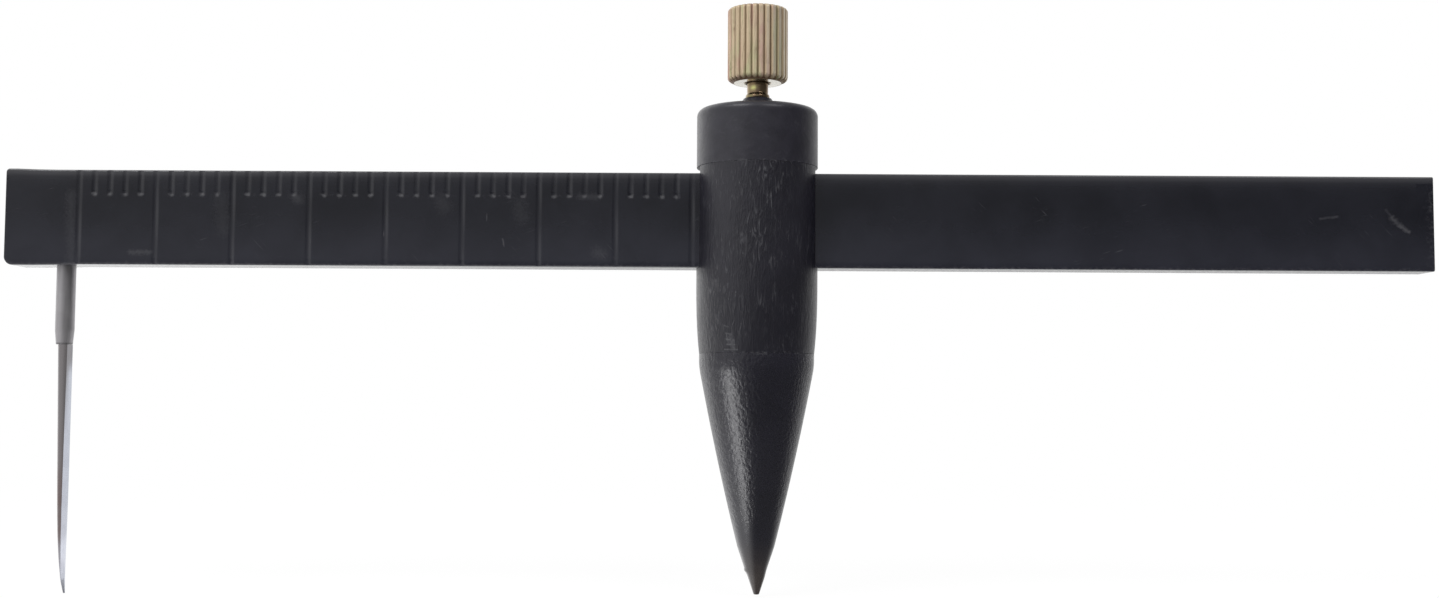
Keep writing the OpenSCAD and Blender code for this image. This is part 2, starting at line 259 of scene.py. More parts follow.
class Board:
    """Short ways to add nodes to a tree and join them."""

    def __init__(self, tree: bpy.types.NodeTree) -> None:
        """Keeps the tree."""
        self.tree = tree

    @classmethod
    def fresh(cls, owner: bpy.types.Material | bpy.types.World) -> Board:
        """Empties the nodes of a material or of the world.

        Args:
            owner: The material or the world.

        Returns:
            Its board.
        """
        owner.use_nodes = True
        owner.node_tree.nodes.clear()
        return cls(owner.node_tree)

    def join(self, source: Socket, target: Socket) -> None:
        """Joins an output to an input."""
        self.tree.links.new(source, target)

    def add(self, kind: str, inputs: dict[str | int, Any] | None = None, **settings: Any) -> bpy.types.Node:
        """Adds a node.

        Args:
            kind: The node's type.
            inputs: Value, or socket to join, for each input by name or number.
            **settings: The node's own properties.

        Returns:
            The new node.
        """
        node = self.tree.nodes.new(kind)
        for name, value in settings.items():
            setattr(node, name, value)
        for key, value in (inputs or {}).items():
            if isinstance(value, Socket):
                self.join(value, node.inputs[key])
            else:
                node.inputs[key].default_value = value
        return node

    def math(self, operation: str, *values: Any, clamp: bool = False) -> Socket:
        """Adds a sum of one to three values and gives its result."""
        node = self.add("ShaderNodeMath", dict(enumerate(values)), operation=operation, use_clamp=clamp)
        return node.outputs[0]

    def times(self, first: Any, second: Any) -> Socket:
        """Multiplies two values."""
        return self.math("MULTIPLY", first, second)

    def spread(self, value: Any, low: Any, high: Any, to_low: Any = 0.0, to_high: Any = 1.0) -> Socket:
        """Maps low to to_low and high to to_high, smoothly and held at both ends."""
        values = dict(enumerate((value, low, high, to_low, to_high)))
        return self.add("ShaderNodeMapRange", values, interpolation_type="SMOOTHSTEP").outputs[0]

    def blend(self, share: Any, first: Any, second: Any) -> Socket:
        """Mixes two colours, each a socket or red, green and blue."""
        values = {0: share, 6: opaque(first), 7: opaque(second)}
        return self.add("ShaderNodeMix", values, data_type="RGBA", clamp_factor=True).outputs[2]

    def noise(self, place: Socket, scale: Any, detail: float = 3.0, warp: float = 0.0) -> Socket:
        """Gives smooth noise of about 0 to 1 at a place."""
        values = {"Vector": place, "Scale": scale, "Detail": detail, "Distortion": warp}
        return self.add("ShaderNodeTexNoise", values).outputs[0]

    def vector(self, operation: str, *values: Any) -> bpy.types.Node:
        """Adds a vector sum and gives its node."""
        return self.add("ShaderNodeVectorMath", dict(enumerate(values)), operation=operation)

    def split(self, place: Socket) -> tuple[Socket, ...]:
        """Gives a place's X, Y and Z."""
        return tuple(self.add("ShaderNodeSeparateXYZ", {0: place}).outputs)

    def stretch(
            self, place: Socket, scale: Any, turn: Place = (0.0, 0.0, 0.0), kind: str = "POINT") -> Socket:
        """Scales a place and then turns it, or for a texture turns it back and then divides it."""
        values = {"Vector": place, "Scale": scale, "Rotation": turn}
        return self.add("ShaderNodeMapping", values, vector_type=kind).outputs[0]

    def place(self) -> Socket:
        """Gives the place on the object."""
        return self.add("ShaderNodeTexCoord").outputs["Object"]

    def mark(self) -> Socket:
        """Reads the piece's own mark."""
        return self.add("ShaderNodeAttribute", attribute_name=MARK).outputs["Fac"]

    def effect(self, effect: Effect, place: Socket, **values: Any) -> bpy.types.Node:
        """Places a shared effect with its own values."""
        return self.add("ShaderNodeGroup", {"Place": place, **values}, node_tree=effect.tree())


class Effect(Enum):
    """Effects that several finishes share, each a shader node group that is built once."""

    GRAIN = "fine_grain"
    STREAKS = "rubbed_streaks"
    SCUFFS = "stray_scuffs"
    SCRATCH = "single_scratch"
    RUB = "rubbed_edges"

    def tree(self) -> bpy.types.NodeTree:
        """Gives the group, and builds it the first time."""
        return bpy.data.node_groups.get(self.value) or EFFECT_MAKERS[self]()


def open_group(
        effect: Effect, inputs: dict[str, float | Place], outputs: tuple[str, ...]) -> tuple[Board, Any, Any]:
    """Starts a node group with a place and other inputs.

    Args:
        effect: The effect that it is for.
        inputs: Names and usual values of the other inputs, each a number or a place.
        outputs: Names of the number outputs.

    Returns:
        The group's board, what it is given, and what it gives out.
    """
    tree = bpy.data.node_groups.new(effect.value, "ShaderNodeTree")
    tree.interface.new_socket("Place", in_out="INPUT", socket_type="NodeSocketVector")
    for name, value in inputs.items():
        kind = "NodeSocketVector" if isinstance(value, tuple) else "NodeSocketFloat"
        tree.interface.new_socket(name, in_out="INPUT", socket_type=kind).default_value = value
    for name in outputs:
        tree.interface.new_socket(name, in_out="OUTPUT", socket_type="NodeSocketFloat")
    board = Board(tree)
    return board, board.add("NodeGroupInput").outputs, board.add("NodeGroupOutput").inputs


def per_metre(board: Board, size: Socket) -> Socket:
    """Gives how many times a size in millimetres goes into a metre."""
    return board.math("DIVIDE", 1.0 / MM, size)


def make_grain() -> bpy.types.NodeTree:
    """Builds the grain: noise of a given size, and the same noise with its contrast raised.

    Returns:
        The group.
    """
    board, given, out = open_group(Effect.GRAIN, {"Size": 0.3, "Low": 0.35, "High": 0.65}, ("Height", "Mask"))
    height = board.noise(given["Place"], per_metre(board, given["Size"]), 4.0, 0.3)
    board.join(height, out["Height"])
    board.join(board.spread(height, given["Low"], given["High"]), out["Mask"])
    return board.tree


def make_streaks() -> bpy.types.NodeTree:
    """Builds upright streaks: noise drawn out in height, broken up by a coarser noise.

    Returns:
        The group.
    """
    board, given, out = open_group(
        Effect.STREAKS, {"Width": 0.15, "Length": 1.6, "Low": 0.52, "High": 0.75}, ("Height", "Mask"))
    patch_scale, patch_span = 260.0, (0.35, 0.65, 0.1, 1.0)
    across, along = per_metre(board, given["Width"]), per_metre(board, given["Length"])
    scale = board.add("ShaderNodeCombineXYZ", {0: across, 1: across, 2: along}).outputs[0]
    lines = board.noise(board.stretch(given["Place"], scale), 1.0, 3.0, 1.4)
    patches = board.spread(board.noise(given["Place"], patch_scale, 2.0), *patch_span)
    mask = board.spread(lines, given["Low"], given["High"])
    board.join(lines, out["Height"])
    board.join(board.times(mask, patches), out["Mask"])
    return board.tree


def make_scuffs() -> bpy.types.NodeTree:
    """Builds scuffs: strokes where noise drawn out on two slants is high, kept only in patches.

    Returns:
        The group.
    """
    board, given, out = open_group(
        Effect.SCUFFS, {"Width": 0.12, "Length": 2.5, "Low": 0.66, "Amount": 0.4}, ("Mask",))
    slants, fade = (1.25, -0.75), 0.12
    patch_scale, patch_low, patch_high, more = 190.0, 0.72, 0.76, 0.3
    place = given["Place"]
    width, length = board.times(given["Width"], MM), board.times(given["Length"], MM)
    scale = board.add("ShaderNodeCombineXYZ", {0: width, 1: width, 2: length}).outputs[0]
    low = board.math("SUBTRACT", patch_low, board.times(given["Amount"], more))
    masks = []
    for slant in slants:
        turn = (0.0, slant, 0.0)
        drawn = board.noise(board.stretch(place, scale, turn, "TEXTURE"), 1.0, 1.0)
        stroke = board.spread(drawn, given["Low"], board.math("ADD", given["Low"], fade))
        cloud = board.noise(board.stretch(place, (1.0, 1.0, 1.0), turn), patch_scale, 1.0)
        masks.append(board.times(stroke, board.spread(cloud, low, patch_high)))
    board.join(board.math("MAXIMUM", *masks), out["Mask"])
    return board.tree


def make_scratch() -> bpy.types.NodeTree:
    """Builds one scratch: the distance to the line between two places, frayed by noise.

    Returns:
        The group.
    """
    board, given, out = open_group(
        Effect.SCRATCH, {"Start": (0.0, 0.0, 0.0), "End": (0.0, 0.0, 1.0), "Width": 0.2}, ("Mask",))
    fray_scale, fray, inside, outside = 3500.0, 1.6, 0.6, 1.9
    along = board.vector("SUBTRACT", given["End"], given["Start"]).outputs["Vector"]
    away = board.vector("SUBTRACT", given["Place"], given["Start"]).outputs["Vector"]
    length = board.vector("DOT_PRODUCT", along, along).outputs["Value"]
    reach = board.vector("DOT_PRODUCT", away, along).outputs["Value"]
    share = board.math("DIVIDE", reach, length, clamp=True)
    foot = board.add("ShaderNodeVectorMath", {0: along, "Scale": share}, operation="SCALE").outputs["Vector"]
    aside = board.vector("LENGTH", board.vector("SUBTRACT", away, foot).outputs["Vector"]).outputs["Value"]
    half = board.times(given["Width"], 0.5 * MM)
    grain = board.noise(given["Place"], fray_scale, 2.0)
    frayed = board.math("MULTIPLY_ADD", grain, board.times(half, fray), aside)
    mask = board.spread(frayed, board.times(half, inside), board.times(half, outside), 1.0, 0.0)
    board.join(mask, out["Mask"])
    return board.tree


def make_rub() -> bpy.types.NodeTree:
    """Builds rubbed edges, and painted highlights that a piece's mark holds: the mark, eaten into by grain.

    Returns:
        The group.
    """
    board, given, out = open_group(Effect.RUB, {"Mark": 0.0, "Size": 0.5, "Amount": 0.5}, ("Mask",))
    bite = (0.62, 0.95)
    grain = board.noise(given["Place"], per_metre(board, given["Size"]), 3.0)
    worn_and_highlight = board.math("ADD", board.times(given["Mark"], given["Amount"]), grain)
    mask = board.math("MULTIPLY", board.spread(worn_and_highlight, *bite), given["Mark"], clamp=True)
    board.join(mask, out["Mask"])
    return board.tree


EFFECT_MAKERS: dict[Effect, Callable[[], bpy.types.NodeTree]] = {
    Effect.GRAIN: make_grain,
    Effect.STREAKS: make_streaks,
    Effect.SCUFFS: make_scuffs,
    Effect.SCRATCH: make_scratch,
    Effect.RUB: make_rub,
}


@dataclass(frozen=True)
class Finish:
    """What every finish has: a name, the record's slot, and a way to start its material."""

    name: str
    slot: str

    def open(self) -> tuple[bpy.types.Material, Board, bpy.types.Node, Socket]:
        """Starts the material.

        Returns:
            The material, its board, its principled shader and the place on the object.
        """
        material = bpy.data.materials.new(self.name)
        board = Board.fresh(material)
        shader = board.add("ShaderNodeBsdfPrincipled")
        board.add("ShaderNodeOutputMaterial", {"Surface": shader.outputs[0]})
        return material, board, shader, board.place()

    @staticmethod
    def reopen(material: bpy.types.Material) -> tuple[Board, bpy.types.Node, Socket]:
        """Takes up a material that is built.

        Args:
            material: The material.

        Returns:
            Its board, its principled shader and the place on the object.
        """
        board = Board(material.node_tree)
        shader = next(node for node in material.node_tree.nodes if node.type == "BSDF_PRINCIPLED")
        return board, shader, board.place()

    @staticmethod
    def overlay(board: Board, shader: bpy.types.Node, share: Socket, colour: Colour) -> None:
        """Lays a colour over the shader's own, by a share."""
        ground = shader.inputs["Base Color"].links[0].from_socket
        board.join(board.blend(share, ground, colour), shader.inputs["Base Color"])

    @staticmethod
    def bump(board: Board, shader: bpy.types.Node, heights: list[tuple[Socket, float]]) -> None:
        """Chains bumps into the shader's normal.

        Args:
            board: The material's board.
            shader: The principled shader.
            heights: Each height from 0 to 1, with its full depth in millimetres.
        """
        chain = {}
        for height, depth in heights:
            values = {"Height": height, "Distance": depth * MM, "Strength": 1.0, **chain}
            chain = {"Normal": board.add("ShaderNodeBump", values).outputs[0]}
        board.join(chain["Normal"], shader.inputs["Normal"])

    def material(self) -> bpy.types.Material:
        """Builds the material."""
        raise NotImplementedError


@dataclass(frozen=True)
class Scratch:
    """One scratch or nick that a finish carries at its own place."""

    start: Place
    end: Place
    width: float = 0.3
    strength: float = 0.5


@dataclass(frozen=True)
class PlasticFinish(Finish):
    """Black moulded plastic: a dark ground with grain, streaks, scuffs, scratches and rubbed edges, whose
    pale colour also lays painted highlights.
    """

    dark: Colour = (0.0106, 0.0099, 0.0166)
    pale: Colour = (0.0150, 0.0141, 0.0225)
    # pale colour of wear and of painted highlights
    worn_and_highlight: Colour = (0.080, 0.080, 0.088)
    roughness: Span = (0.20, 0.28)
    grain_size: float = 0.25
    grain_depth: float = 0.0015
    grain_draw: float = 1.0
    grain_foot: float = 0.0
    grain_rise: float = 4.0
    wave_size: float = 9.0
    wave_depth: float = 0.02
    wave_share: float = 0.26
    pale_foot: float = 0.0
    pale_top: float = 0.0
    pale_share: float = 0.65
    ior: float = 1.47
    streaks: float = 0.0
    streak_width: float = 0.2
    streak_length: float = 1.4
    streak_depth: float = 0.0
    # leaning band in which the flecks carry a painted highlight
    band_x: float = 0.0
    band_lean: float = 0.0
    band_half: float = 0.0
    band_fade: Span = (0.5, 1.6)
    band_rest: float = 0.4
    scuffs: float = 0.3
    scuff_share: float = 0.4
    rub: float = 0.2
    rub_share: float = 0.5
    worn_rough: float = 0.2
    scratches: tuple[Scratch, ...] = ()

    def streaked(self, board: Board, place: Socket) -> tuple[Socket, Socket]:
        """Gives the streaks; where the finish has a leaning band, the pale flecks are strongest in it, a
        painted highlight.

        Args:
            board: The material's board.
            place: The place on the object.

        Returns:
            The share of the paler colour, and the height.
        """
        streaks = board.effect(Effect.STREAKS, place, Width=self.streak_width, Length=self.streak_length)
        fleck_and_highlight, lines = board.times(streaks.outputs["Mask"], self.streaks), streaks.outputs["Height"]
        if self.band_half <= 0.0:
            return fleck_and_highlight, lines
        # Painted highlight: the pale flecks are strongest in a leaning band.
        x, _, height = board.split(place)
        middle = board.math("MULTIPLY_ADD", height, self.band_lean, self.band_x * MM)
        aside = board.math("ABSOLUTE", board.math("SUBTRACT", x, middle))
        inside, outside = (share * self.band_half * MM for share in self.band_fade)
        band = board.spread(aside, inside, outside, 1.0, self.band_rest)
        return board.times(fleck_and_highlight, band), board.times(lines, band)

    def wear_and_highlight(self, board: Board, place: Socket) -> Socket:
        """Gives the wear and painted highlights: the most of scuffs, rubbed edges, a mark below 0 and the
        scratches.

        Args:
            board: The material's board.
            place: The place on the object.

        Returns:
            The share of the pale colour of wear and painted highlights.
        """
        scuffs = board.effect(Effect.SCUFFS, place, Amount=self.scuffs).outputs["Mask"]
        rub = board.effect(Effect.RUB, place, Mark=board.mark(), Amount=self.rub).outputs["Mask"]
        scuffs, rub = board.times(scuffs, self.scuff_share), board.times(rub, self.rub_share)
        wear_and_highlight = board.math("MAXIMUM", board.math("MAXIMUM", scuffs, rub), board.times(board.mark(), -1.0))
        for scratch in self.scratches:
            start, end = (tuple(MM * v for v in spot) for spot in (scratch.start, scratch.end))
            line = board.effect(Effect.SCRATCH, place, Start=start, End=end, Width=scratch.width)
            wear_and_highlight = board.math("MAXIMUM", wear_and_highlight, board.times(line.outputs["Mask"], scratch.strength))
        return wear_and_highlight

    def material(self) -> bpy.types.Material:
        """Builds the material: two blacks by patches and height, paler where streaked, worn or given a
        painted highlight.

        Returns:
            The material.
        """
        material, board, shader, place = self.open()
        height = board.split(place)[2]
        drawn = board.stretch(place, (1.0, 1.0, 1.0 / self.grain_draw))
        grain = board.effect(Effect.GRAIN, drawn, Size=self.grain_size).outputs["Height"]
        wave = board.effect(Effect.GRAIN, place, Size=self.wave_size, Low=NOISE_SPAN[0], High=NOISE_SPAN[1])
        light = wave.outputs["Mask"]
        if self.pale_top > self.pale_foot:
            low = board.spread(height, self.pale_foot * MM, self.pale_top * MM, self.pale_share, 0.0)
            light = board.math("MULTIPLY_ADD", light, self.wave_share, low)
        fleck_and_highlight, lines = self.streaked(board, place)
        ground = board.blend(fleck_and_highlight, board.blend(light, self.dark, self.pale), self.worn_and_highlight)
        wear_and_highlight = self.wear_and_highlight(board, place)
        # Pale colour of wear, and of painted highlights from the mark and the scratches.
        board.join(board.blend(wear_and_highlight, ground, self.worn_and_highlight), shader.inputs["Base Color"])
        rough = board.spread(grain, *NOISE_SPAN, *self.roughness)
        rough = board.math("ADD", rough, board.times(wear_and_highlight, self.worn_rough), clamp=True)
        board.join(rough, shader.inputs["Roughness"])
        shader.inputs["IOR"].default_value = self.ior
        rise = board.spread(height, self.grain_foot * MM, (self.grain_foot + self.grain_rise) * MM)
        heights = [(wave.outputs["Height"], self.wave_depth), (board.times(grain, rise), self.grain_depth)]
        if self.streak_depth > 0.0:
            heights.append((lines, self.streak_depth))
        self.bump(board, shader, heights)
        return material


@dataclass(frozen=True)
class NoseFinish(PlasticFinish):
    """The nose's plastic, which turns brown where the point wears in the clay."""

    clay: Colour = (0.055, 0.044, 0.038)
    clay_share: float = 0.75
    clay_foot: float = 1.5
    clay_top: float = 9.2
    ragged: float = 2.4
    ragged_scale: float = 700.0

    def material(self) -> bpy.types.Material:
        """Builds the plastic, and stains it below the top of the worn point.

        Returns:
            The material.
        """
        material = super().material()
        board, shader, place = self.reopen(material)
        uneven = board.times(board.noise(place, self.ragged_scale), self.ragged * MM)
        height = board.math("ADD", board.split(place)[2], uneven)
        stain = board.spread(height, self.clay_foot * MM, self.clay_top * MM, self.clay_share, 0.0)
        self.overlay(board, shader, stain, self.clay)
        return material


@dataclass(frozen=True)
class PlatedFinish(Finish):
    """Yellow chromate over zinc: tan metal that drifts to pink and green, brown in its hollows and where
    shade is painted, and pale where a highlight is painted.
    """

    tan: Colour = (0.52, 0.412, 0.275)
    pink: Colour = (0.52, 0.345, 0.265)
    green: Colour = (0.45, 0.43, 0.25)
    # brown of patina, also laid as painted shade
    patina_and_shade: Colour = (0.15, 0.088, 0.05)
    # pale colour of painted highlights
    painted_sheen: Colour = (0.85, 0.83, 0.75)
    roughness: Span = (0.48, 0.6)
    darkness: float = 0.0
    metallic: float = 0.45
    lines: float = 0.0
    pink_scale: float = 700.0
    pink_span: Span = (0.5, 0.68)
    pink_draw: float = 0.2
    green_scale: float = 800.0
    green_span: Span = (0.52, 0.7)
    green_draw: float = 0.15
    green_turn: float = 1.1
    stains: float = 0.35
    sheen_gloss: float = 0.65
    grain_depth: float = 0.004
    streak_depth: float = 0.003

    def tint(self, board: Board, place: Socket) -> Socket:
        """Gives the plating's colour: tan with patches of pink and green drawn out in height.

        Args:
            board: The material's board.
            place: The place on the object.

        Returns:
            The colour.
        """
        drift = board.noise(board.stretch(place, (1.0, 1.0, self.pink_draw)), self.pink_scale, 2.0, 0.5)
        turned = board.stretch(place, (1.0, 1.0, self.green_draw), (0.0, 0.0, self.green_turn))
        other = board.noise(turned, self.green_scale, 2.0, 0.4)
        rosy = board.blend(board.spread(drift, *self.pink_span), self.tan, self.pink)
        return board.blend(board.spread(other, *self.green_span), rosy, self.green)

    def material(self) -> bpy.types.Material:
        """Builds the material: drifting tints, brown where the mark is up, for patina and painted shade, and
        a pale painted highlight where it is down.

        Returns:
            The material.
        """
        material, board, shader, place = self.open()
        grain = board.effect(Effect.GRAIN, place, Size=0.18, Low=0.4, High=0.75).outputs["Height"]
        stain = board.effect(Effect.GRAIN, place, Size=1.4, Low=0.55, High=0.8).outputs["Mask"]
        drawn = board.effect(Effect.STREAKS, place, Width=0.16, Length=3.5, Low=0.48, High=0.62)
        streaks = board.effect(Effect.STREAKS, place, Width=0.08, Length=2.5).outputs["Mask"]
        dull = board.math("ADD", board.times(stain, self.stains), self.darkness)
        dull = board.math("MULTIPLY_ADD", drawn.outputs["Mask"], self.lines, dull)
        dark = board.math("MAXIMUM", dull, board.mark(), clamp=True)
        # Painted highlight where the mark is below 0: pale, glossier and more metallic.
        painted_sheen = board.math("MULTIPLY", board.mark(), -1.0, clamp=True)
        tint = board.blend(painted_sheen, board.blend(dark, self.tint(board, place), self.patina_and_shade), self.painted_sheen)
        board.join(tint, shader.inputs["Base Color"])
        rough = board.spread(grain, *NOISE_SPAN, *self.roughness)
        rough = board.times(rough, board.math("MULTIPLY_ADD", painted_sheen, -self.sheen_gloss, 1.0))
        board.join(rough, shader.inputs["Roughness"])
        metal = board.math("MULTIPLY_ADD", painted_sheen, 1.0 - self.metallic, self.metallic, clamp=True)
        board.join(metal, shader.inputs["Metallic"])
        self.bump(board, shader, [(grain, self.grain_depth), (streaks, self.streak_depth)])
        return material


@dataclass(frozen=True)
class SteelFinish(Finish):
    """Drawn or ground steel: fine lines, cloudy tint, a few darker stains, and the same dark where a piece's
    mark asks for it, which at the sleeve's mouth is painted shade.
    """

    bright: Colour = (0.58, 0.58, 0.60)
    dull: Colour = (0.40, 0.385, 0.38)
    stain: Colour = (0.17, 0.12, 0.09)
    roughness: Span = (0.24, 0.34)
    line_scale: Place = (7000.0, 7000.0, 300.0)
    line_depth: float = 0.0006
    cloud_depth: float = 0.003
    stains: float = 0.25

    def material(self) -> bpy.types.Material:
        """Builds the material: two greys by cloud, the dark colour by spots, which are stains, and by the
        mark, which at the sleeve's mouth is painted shade, and fine lines.

        Returns:
            The material.
        """
        material, board, shader, place = self.open()
        cloud = board.effect(Effect.GRAIN, place, Size=2.2, Low=0.35, High=0.65)
        spots = board.effect(Effect.GRAIN, place, Size=0.9, Low=0.6, High=0.78)
        lines = board.noise(board.stretch(place, self.line_scale), 1.0, 2.0)
        ground = board.blend(cloud.outputs["Mask"], self.bright, self.dull)
        stain_and_shade = board.times(spots.outputs["Mask"], self.stains)
        # The mark darkens too, which at the sleeve's mouth is painted shade.
        stain_and_shade = board.math("MAXIMUM", stain_and_shade, board.mark(), clamp=True)
        board.join(board.blend(stain_and_shade, ground, self.stain), shader.inputs["Base Color"])
        board.join(board.spread(lines, *NOISE_SPAN, *self.roughness), shader.inputs["Roughness"])
        shader.inputs["Metallic"].default_value = 1.0
        self.bump(board, shader, [(lines, self.line_depth), (cloud.outputs["Height"], self.cloud_depth)])
        return material


@dataclass(frozen=True)
class BladeFinish(SteelFinish):
    """The blade's steel: bright where it is ground, drawn rod elsewhere, which browns down the blade."""

    rust: Colour = (0.15, 0.10, 0.09)
    rust_share: float = 0.85
    rust_foot: float = 5.0
    rust_top: float = 24.0
    patch_scale: float = 400.0
    patch_span: tuple[float, ...] = (0.3, 0.6, 0.4, 1.0)

    def material(self) -> bpy.types.Material:
        """Builds the steel, and browns the rod's own surface by height.

        Returns:
            The material.
        """
        material = super().material()
        board, shader, place = self.reopen(material)
        height = board.split(place)[2]
        low = board.spread(height, self.rust_foot * MM, self.rust_top * MM, self.rust_share, 0.0)
        patchy = board.spread(board.noise(place, self.patch_scale, 2.0), *self.patch_span)
        self.overlay(board, shader, board.times(board.times(low, patchy), board.mark()), self.rust)
        return material


@dataclass(frozen=True)
class BrassFinish(Finish):
    """Turned brass, with tool rings and a dull film."""

    bright: Colour = (0.72, 0.52, 0.22)
    film: Colour = (0.40, 0.27, 0.12)
    film_size: float = 1.2
    roughness: Span = (0.22, 0.4)
    ring_scale: Place = (300.0, 300.0, 9000.0)
    ring_depth: float = 0.002

    def material(self) -> bpy.types.Material:
        """Builds the material: brass clouded by a film, with fine rings in height.

        Returns:
            The material.
        """
        material, board, shader, place = self.open()
        cloud = board.effect(Effect.GRAIN, place, Size=self.film_size)
        rings = board.noise(board.stretch(place, self.ring_scale), 1.0, 2.0)
        board.join(board.blend(cloud.outputs["Mask"], self.bright, self.film), shader.inputs["Base Color"])
        board.join(board.spread(rings, *NOISE_SPAN, *self.roughness), shader.inputs["Roughness"])
        shader.inputs["Metallic"].default_value = 1.0
        self.bump(board, shader, [(rings, self.ring_depth)])
        return material


def install(piece: bpy.types.Object, body: Body, node: str, finish: Finish) -> None:
    """Dresses a piece, seats it on its body and lets it stand for its CAD node.

    Args:
        piece: The piece.
        body: The body that it rides on.
        node: The CAD node that it stands for.
        finish: Its finish.
    """
    piece.data.materials.append(finish.material())
    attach(piece, body.value)
    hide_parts(node)
    faces = len(piece.data.polygons)
    LOG.info("%s rides on %s with %s, %d faces", piece.name, body.value, finish.name, faces)


# Scratches on the beam's front face, each as x and z of its start, x and z of its end, width and strength.
FRONT_SCRATCHES = (
    (82.0, 50.4, 82.6, 49.7, 0.5, 0.14),
    (82.7, 49.4, 83.7, 48.4, 1.0, 0.32),
    (83.7, 48.4, 84.9, 47.6, 0.8, 0.4),
    (73.4, 49.2, 75.7, 49.5, 0.5, 0.2),
    (-81.7, 44.0, -79.0, 44.0, 1.0, 0.23),
    (-89.6, 51.5, -89.3, 43.0, 2.2, 0.11),
    (-70.0, 51.0, -69.6, 47.0, 3.0, 0.08),
    (-60.3, 51.4, -59.9, 51.0, 2.0, 0.16),
    (-41.3, 50.9, -41.0, 50.3, 3.0, 0.1),
    (-31.1, 50.4, -30.8, 49.0, 3.0, 0.09),
    (-23.2, 51.6, -20.8, 51.6, 1.3, 0.14),
    (-20.8, 44.3, -20.4, 44.1, 2.4, 0.13),
    (-88.6, 45.6, -88.6, 44.8, 0.25, 0.7),
    (-48.7, 47.3, -48.7, 46.3, 0.25, 0.6),
    (-35.3, 49.2, -35.3, 48.4, 0.25, 0.3),
    (-33.2, 46.0, -33.0, 45.0, 0.25, 0.4),
)


def front_scratches(y: float = -2.5) -> tuple[Scratch, ...]:
    """Gives the scratches on the beam's front face, which lies at y."""
    return tuple(Scratch((x, y, z), (to_x, y, to_z), *rest) for x, z, to_x, to_z, *rest in FRONT_SCRATCHES)


